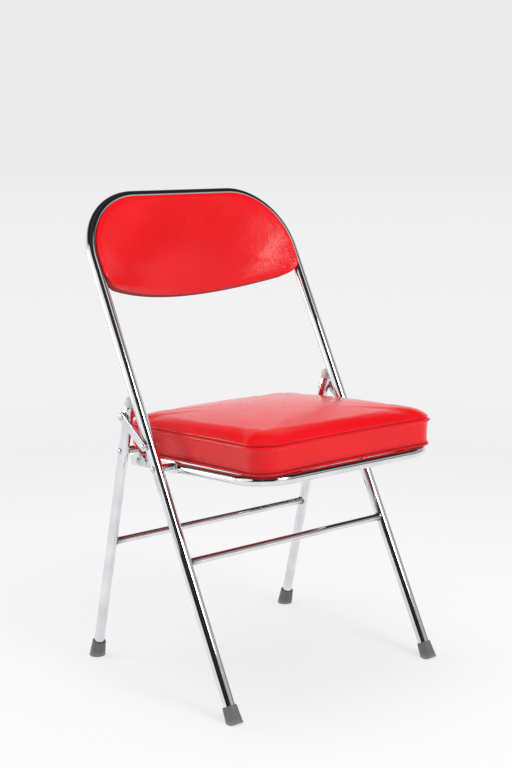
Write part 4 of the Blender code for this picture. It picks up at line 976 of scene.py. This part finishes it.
class CHAIR_OT_back(bpy.types.Operator):
    """Upholster the back: a dished filled pad on the bow, and the covered shell behind it"""

    bl_idname = "chair.back"
    bl_label = "Back Pad"

    def execute(self, context):
        self.bow = context.scene.chair_sizes.bow_radius
        self.inside = FRAME_R + 0.00075
        sizes = context.scene.cushion_sizes
        self.pad(sizes, bpy.data.materials["red_vinyl"])
        look = context.scene.chair_look
        behind = vinyl_material("red_vinyl_shell", (look.vinyl, look.vinyl_deep), look.crease, 0.24)
        self.shell(sizes, behind)
        return {"FINISHED"}

    def dished(self, flat, forward, sizes):
        """Points of the back: set back from the bow's plane by a dish that is nothing at the tube and grows
        with the fall below the bow and with one minus the square of the share of the half width."""
        x, along = flat[..., 0], flat[..., 1]
        past = np.maximum(along - (BACK_LENGTH - self.bow), 0.0)
        half = LEG_X - self.bow + np.sqrt(np.maximum((self.bow - self.inside) ** 2 - past**2, 0.0))
        fall = np.maximum((BACK_LENGTH - self.inside - along) / sizes.back_height, 0.0)
        behind = sizes.back_dish * fall * np.maximum(1 - (x / half) ** 2, 0.0)
        return on_front(x, along, behind - forward)

    def outline(self, sizes, inset, lift):
        half = LEG_X - inset
        low = (-half, BACK_LENGTH - sizes.back_lip - sizes.back_height + lift)
        high = (half, BACK_LENGTH - inset)
        low_radius = max(sizes.back_corner - lift, 0.3 * sizes.back_corner)
        return rounded_outline(low, high, low_radius, self.bow - inset, 18, 54, 104, 4)[0]

    def pad(self, sizes, vinyl):
        """Rings of the outline at an inset, a lift of the lower edge and a distance forward, along a smooth profile
        that leaves the shell, lies on the tube, rolls over the rim and is drawn to the middle over the puffed front,
        where the rings turn into ellipses."""
        middle = np.array((0.0, BACK_LENGTH - sizes.back_lip - sizes.back_height / 2))
        tube, lip = FRAME_R + 0.00045, sizes.back_lip
        rest = math.sqrt(tube**2 - lip**2)
        rim = rest + sizes.back_rim
        puff = sizes.back_puff
        scale = 0.12
        knots = [(self.inside, 0.0015, -0.001, scale * part) for part in (0.05, 0.3, 0.6, 0.85)]
        knots += [
            (self.inside, 0.0015, -0.001, scale),
            (self.inside, 0.0006, 0.002, scale),
            (0.92 * tube, 0.0, math.sqrt(1 - 0.92**2) * tube, scale),
            (0.74 * tube, 0.0, math.sqrt(1 - 0.74**2) * tube, scale),
            (lip + 0.0003, 0.0, rest, scale),
            (lip, 0.0, rest + 0.45 * sizes.back_rim, scale),
            (lip + 0.0009, 0.0010, rest + 0.78 * sizes.back_rim, scale),
            (lip + 0.0028, 0.0028, rest + 0.97 * sizes.back_rim, scale),
            (lip + 0.0060, 0.0060, rim + 0.15 * puff, scale),
            (lip + 0.0150, 0.0150, rim + 0.33 * puff, scale),
            (lip + 0.0300, 0.0300, rim + 0.50 * puff, scale),
        ]
        for part in (0.9, 0.75, 0.6, 0.45, 0.3, 0.15, 0.05):
            knots.append((lip + 0.0300, 0.0300, rim + puff * (0.5 + 0.5 * (1 - part**2)), scale * part))
        runs = knot_runs(knots)
        spots = np.concatenate((
            np.linspace(0.0, runs[4], 14)[:-1],
            np.linspace(runs[4], runs[12], 34)[:-1],
            np.linspace(runs[12], runs[14], 14)[:-1],
            np.linspace(runs[14], runs[-1], 44),
        ))
        inset, lift, forward, part = flowing(knots, spots).T
        part = (part / scale)[:, None]
        flat = np.stack([self.outline(sizes, *pair) for pair in zip(inset, lift)]) - middle
        beyond = np.linalg.norm(flat / np.abs(flat).max(axis=1, keepdims=True), axis=-1)
        flat = middle + (part * (part + (1 - part) / beyond))[..., None] * flat
        rows = self.dished(flat, forward[:, None], sizes)
        held = np.broadcast_to(spots[:, None] < runs[10], rows.shape[:2])
        rows = inflated(rows, held, 3.0, 0.5 * sizes.give)
        # Painted shade: the cover from the shell round the tube to the rim is coloured darker, as shade along the pad's
        # edge.
        edge = np.clip((spots - runs[4]) / 0.002, 0.0, 1.0) * np.clip((runs[9] - spots) / 0.002, 0.0, 1.0)
        edge = edge[:, None] * np.ones(rows.shape[1])
        pad = lay_surface("back_cover_filled", rows, vinyl, "back_pad", crease=75.0, marks={"seam": 0.75 * edge})

    def shell(self, sizes, vinyl):
        """The covered board: the same dish, with a rolled edge from its hidden front to its rear face."""
        middle = np.array((0.0, BACK_LENGTH - sizes.back_lip - sizes.back_height / 2))
        front, behind = -0.0015, -0.0015 - sizes.shell_thick
        turn = np.linspace(0.0, math.pi / 2, 7)
        roll = 0.0022
        steps = [(self.inside, 0.0015, front, part) for part in np.linspace(0.05, 1.0, 12)]
        steps += [
            (self.inside + roll * (1 - math.cos(angle)), 0.0015 + roll * (1 - math.cos(angle)),
             behind + roll * (1 - math.sin(angle)), 1.0)
            for angle in turn
        ]
        steps += [(self.inside + roll, 0.0015 + roll, behind, part) for part in (0.993, *np.linspace(0.97, 0.03, 29))]
        flat = np.stack([self.outline(sizes, inset, lift) for inset, lift, _, _ in steps])
        forward, part = np.array(steps)[:, 2], np.array(steps)[:, 3]
        flat = middle + part[:, None, None] * (flat - middle)
        rows = self.dished(flat, forward[:, None], sizes)
        # Painted shade: the shell's rolled edge is coloured darker, as shade under the pad's edge.
        edge = np.abs(np.arange(len(rows)) - 14)[:, None] < 4
        marks = {"seam": 0.75 * edge * np.ones(rows.shape[1])}
        lay_surface("back_shell_covered", rows, vinyl, "back_shell", crease=60.0, marks=marks)


class CHAIR_OT_stage(bpy.types.Operator):
    """Set the pale floor, the studio light and the camera"""

    bl_idname = "chair.stage"
    bl_label = "Stage"

    def execute(self, context):
        look = context.scene.chair_look
        self.floor(look)
        self.world(context.scene, look)
        middle = (FRONT_FOOT + REAR_FOOT) / 2
        chair = middle + (0.0, 0.0, 0.4)
        self.lamp("key_lamp", middle + (0.2, -2.4, 2.0), chair, 1.1, 25.0)
        self.lamp("top_lamp", middle + (-0.2, 0.1, 2.7), chair, 1.8, 18.0).visible_glossy = False
        self.lamp("front_lamp", middle + (1.6, -2.1, 0.68), chair, 0.5, 3.0).visible_glossy = False
        self.lamp("side_lamp", middle + (-1.6, 1.6, 0.62), chair, 0.9, 9.0)
        card = self.lamp("left_card", middle + (-1.63, 0.2, 1.05), middle + (0.0, 0.1, 0.6), 1.4, 4.8)
        card.visible_camera = card.visible_diffuse = False
        self.camera(context.scene, middle)
        context.scene.view_settings.view_transform = "Standard"
        return {"FINISHED"}

    def floor(self, look):
        """A wide sheet just under the feet that keeps their shadow, fading into the backdrop's colour far out. Only
        camera and mirror rays see that colour glow."""
        reach, drop = 40.0, -0.0004
        mesh = bpy.data.meshes.new("floor")
        corners = [(-reach, -reach, drop), (reach, -reach, drop), (reach, reach, drop), (-reach, reach, drop)]
        mesh.from_pydata(corners, [], [(0, 1, 2, 3)])
        floor = bpy.data.objects.new("floor", mesh)
        bpy.context.scene.collection.objects.link(floor)
        material, tree, shader, place = new_material("pale_floor")
        out = put(tree, "ShaderNodeVectorMath", {0: place}, operation="LENGTH").outputs["Value"]
        far = mapped(tree, out, 0.6, 2.6, 0.60, 1.0)
        blot = noise(tree, place, 1.4, 2.0)
        set_inputs(tree, shader, {
            "Base Color": ramp(tree, blot, (0.2, [0.985 * c for c in look.backdrop]), (0.8, look.backdrop)),
            "Roughness": 0.7,
            "Specular IOR Level": 0.15,
        })
        distance = mapped(tree, out, 0.6, 30.0, 0.0, 1.0)
        shares = ((0.0, 1.10), (0.035, 0.985), (0.07, 0.98), (0.22, 0.965))
        shades = [(stop, [part * c for c in look.backdrop]) for stop, part in shares]
        fade = ramp(tree, distance, *shades, (1.0, look.far_end))
        glow = put(tree, "ShaderNodeEmission", {"Color": fade, "Strength": 1.0})
        rays = put(tree, "ShaderNodeLightPath").outputs
        looked_at = joined(tree, "MAXIMUM", rays["Is Camera Ray"], rays["Is Glossy Ray"])
        shown = joined(tree, "MULTIPLY", far, looked_at)
        mix = put(tree, "ShaderNodeMixShader", {0: shown, 1: shader.outputs[0], 2: glow.outputs[0]})
        tree.links.new(mix.outputs[0], tree.nodes["Material Output"].inputs["Surface"])
        mesh.materials.append(material)

    def world(self, scene, look):
        """Even light. Camera rays see the backdrop's colour. Mirror rays see it low down all round, a soft light at the
        right front, and otherwise the dark room, which comes down to the floor at the camera's end but for a window."""
        world = bpy.data.worlds.new("studio")
        world.use_nodes = True
        scene.world = world
        tree = world.node_tree
        tree.nodes.clear()
        way = put(tree, "ShaderNodeTexCoord").outputs["Generated"]

        def towards(direction, wide, narrow):
            inputs = {0: way, 1: tuple(unit(np.array(direction)))}
            angle = put(tree, "ShaderNodeVectorMath", inputs, operation="DOT_PRODUCT").outputs["Value"]
            return mapped(tree, angle, math.cos(math.radians(wide)), math.cos(math.radians(narrow)), 0.0, 1.0)

        height = put(tree, "ShaderNodeSeparateXYZ", {"Vector": way}).outputs["Z"]
        low = mapped(tree, height, 0.28, 0.58, 1.0, 0.0)
        camera_end = towards((-0.80, -0.42, 0.42), 51.0, 44.0)
        window = towards((0.616, -0.788, 0.0), 92.2, 88.6)
        window = joined(tree, "MULTIPLY", window, towards((-0.616, 0.788, 0.0), 90.8, 88.8))
        window = joined(tree, "MULTIPLY", window, mapped(tree, height, 0.30, 0.42, 0.0, 0.75))
        right_front = towards((0.80, -0.58, 0.12), 48.0, 26.0)
        right_front = joined(tree, "MULTIPLY", right_front, mapped(tree, height, 0.22, 0.36, 0.8, 0.0))
        low = joined(tree, "MULTIPLY", low, joined(tree, "SUBTRACT", 1.0, right_front))
        lit = joined(tree, "MULTIPLY", low, joined(tree, "SUBTRACT", 1.0, camera_end))
        soft_light = joined(tree, "MULTIPLY", 0.9, towards((0.28, -0.74, 0.61), 16.0, 9.0))
        lit = joined(tree, "MAXIMUM", joined(tree, "MAXIMUM", lit, soft_light), window)
        mirrored = put(tree, "ShaderNodeBackground", {"Color": blended(tree, lit, look.room, look.backdrop)})
        seen = put(tree, "ShaderNodeBackground", {"Color": (*look.far_end, 1.0), "Strength": 1.0})
        even = put(tree, "ShaderNodeBackground", {"Color": (1.0, 1.0, 1.0, 1.0), "Strength": 0.62})
        rays = put(tree, "ShaderNodeLightPath").outputs
        lit = {0: rays["Is Glossy Ray"], 1: even.outputs[0], 2: mirrored.outputs[0]}
        lit = put(tree, "ShaderNodeMixShader", lit).outputs[0]
        shown = put(tree, "ShaderNodeMixShader", {0: rays["Is Camera Ray"], 1: lit, 2: seen.outputs[0]})
        out = put(tree, "ShaderNodeOutputWorld")
        tree.links.new(shown.outputs[0], out.inputs["Surface"])

    def lamp(self, name, place, target, size, power):
        data = bpy.data.lights.new(name, "AREA")
        data.shape, data.size, data.energy = "DISK", size, power
        lamp = bpy.data.objects.new(name, data)
        lamp.location = place
        way = unit(target - place)
        lamp.rotation_euler = (math.acos(-way[2]), 0.0, math.atan2(-way[0], way[1]))
        bpy.context.scene.collection.objects.link(lamp)
        return lamp

    def camera(self, scene, middle):
        data = bpy.data.cameras.new("camera")
        data.lens = 65.886
        data.sensor_width = 36.0
        camera = bpy.data.objects.new("camera", data)
        camera.location = middle + (-1.4794, -1.7479, 0.88)
        camera.rotation_euler = Euler((math.radians(79.9102), 0.0, math.radians(-39.9636)))
        scene.collection.objects.link(camera)
        scene.camera = camera


class CHAIR_PT_panel(bpy.types.Panel):
    """Sizes, colours and steps of the chair's finish"""

    bl_idname = "CHAIR_PT_panel"
    bl_label = "Folding Chair"
    bl_space_type = "VIEW_3D"
    bl_region_type = "UI"
    bl_category = "Chair"

    def draw(self, context):
        for group in (context.scene.chair_sizes, context.scene.cushion_sizes, context.scene.chair_look):
            box = self.layout.box()
            for name in group.__annotations__:
                box.prop(group, name)
        for operator in OPERATORS:
            self.layout.operator(operator.bl_idname)


GROUPS = (ChairSizes, CushionSizes, ChairLook)
OPERATORS = (CHAIR_OT_tubes, CHAIR_OT_hardware, CHAIR_OT_feet, CHAIR_OT_cushion, CHAIR_OT_back, CHAIR_OT_stage)


def register():
    for kind in (*GROUPS, *OPERATORS, CHAIR_PT_panel):
        bpy.utils.register_class(kind)
    bpy.types.Scene.chair_sizes = bpy.props.PointerProperty(type=ChairSizes)
    bpy.types.Scene.cushion_sizes = bpy.props.PointerProperty(type=CushionSizes)
    bpy.types.Scene.chair_look = bpy.props.PointerProperty(type=ChairLook)


def unregister():
    del bpy.types.Scene.chair_look, bpy.types.Scene.cushion_sizes, bpy.types.Scene.chair_sizes
    for kind in (CHAIR_PT_panel, *reversed(OPERATORS), *reversed(GROUPS)):
        bpy.utils.unregister_class(kind)


def main():
    register()
    bpy.ops.chair.tubes()
    bpy.ops.chair.hardware()
    bpy.ops.chair.feet()
    bpy.ops.chair.cushion()
    bpy.ops.chair.back()
    bpy.ops.chair.stage()


if __name__ == "__main__":
    main()
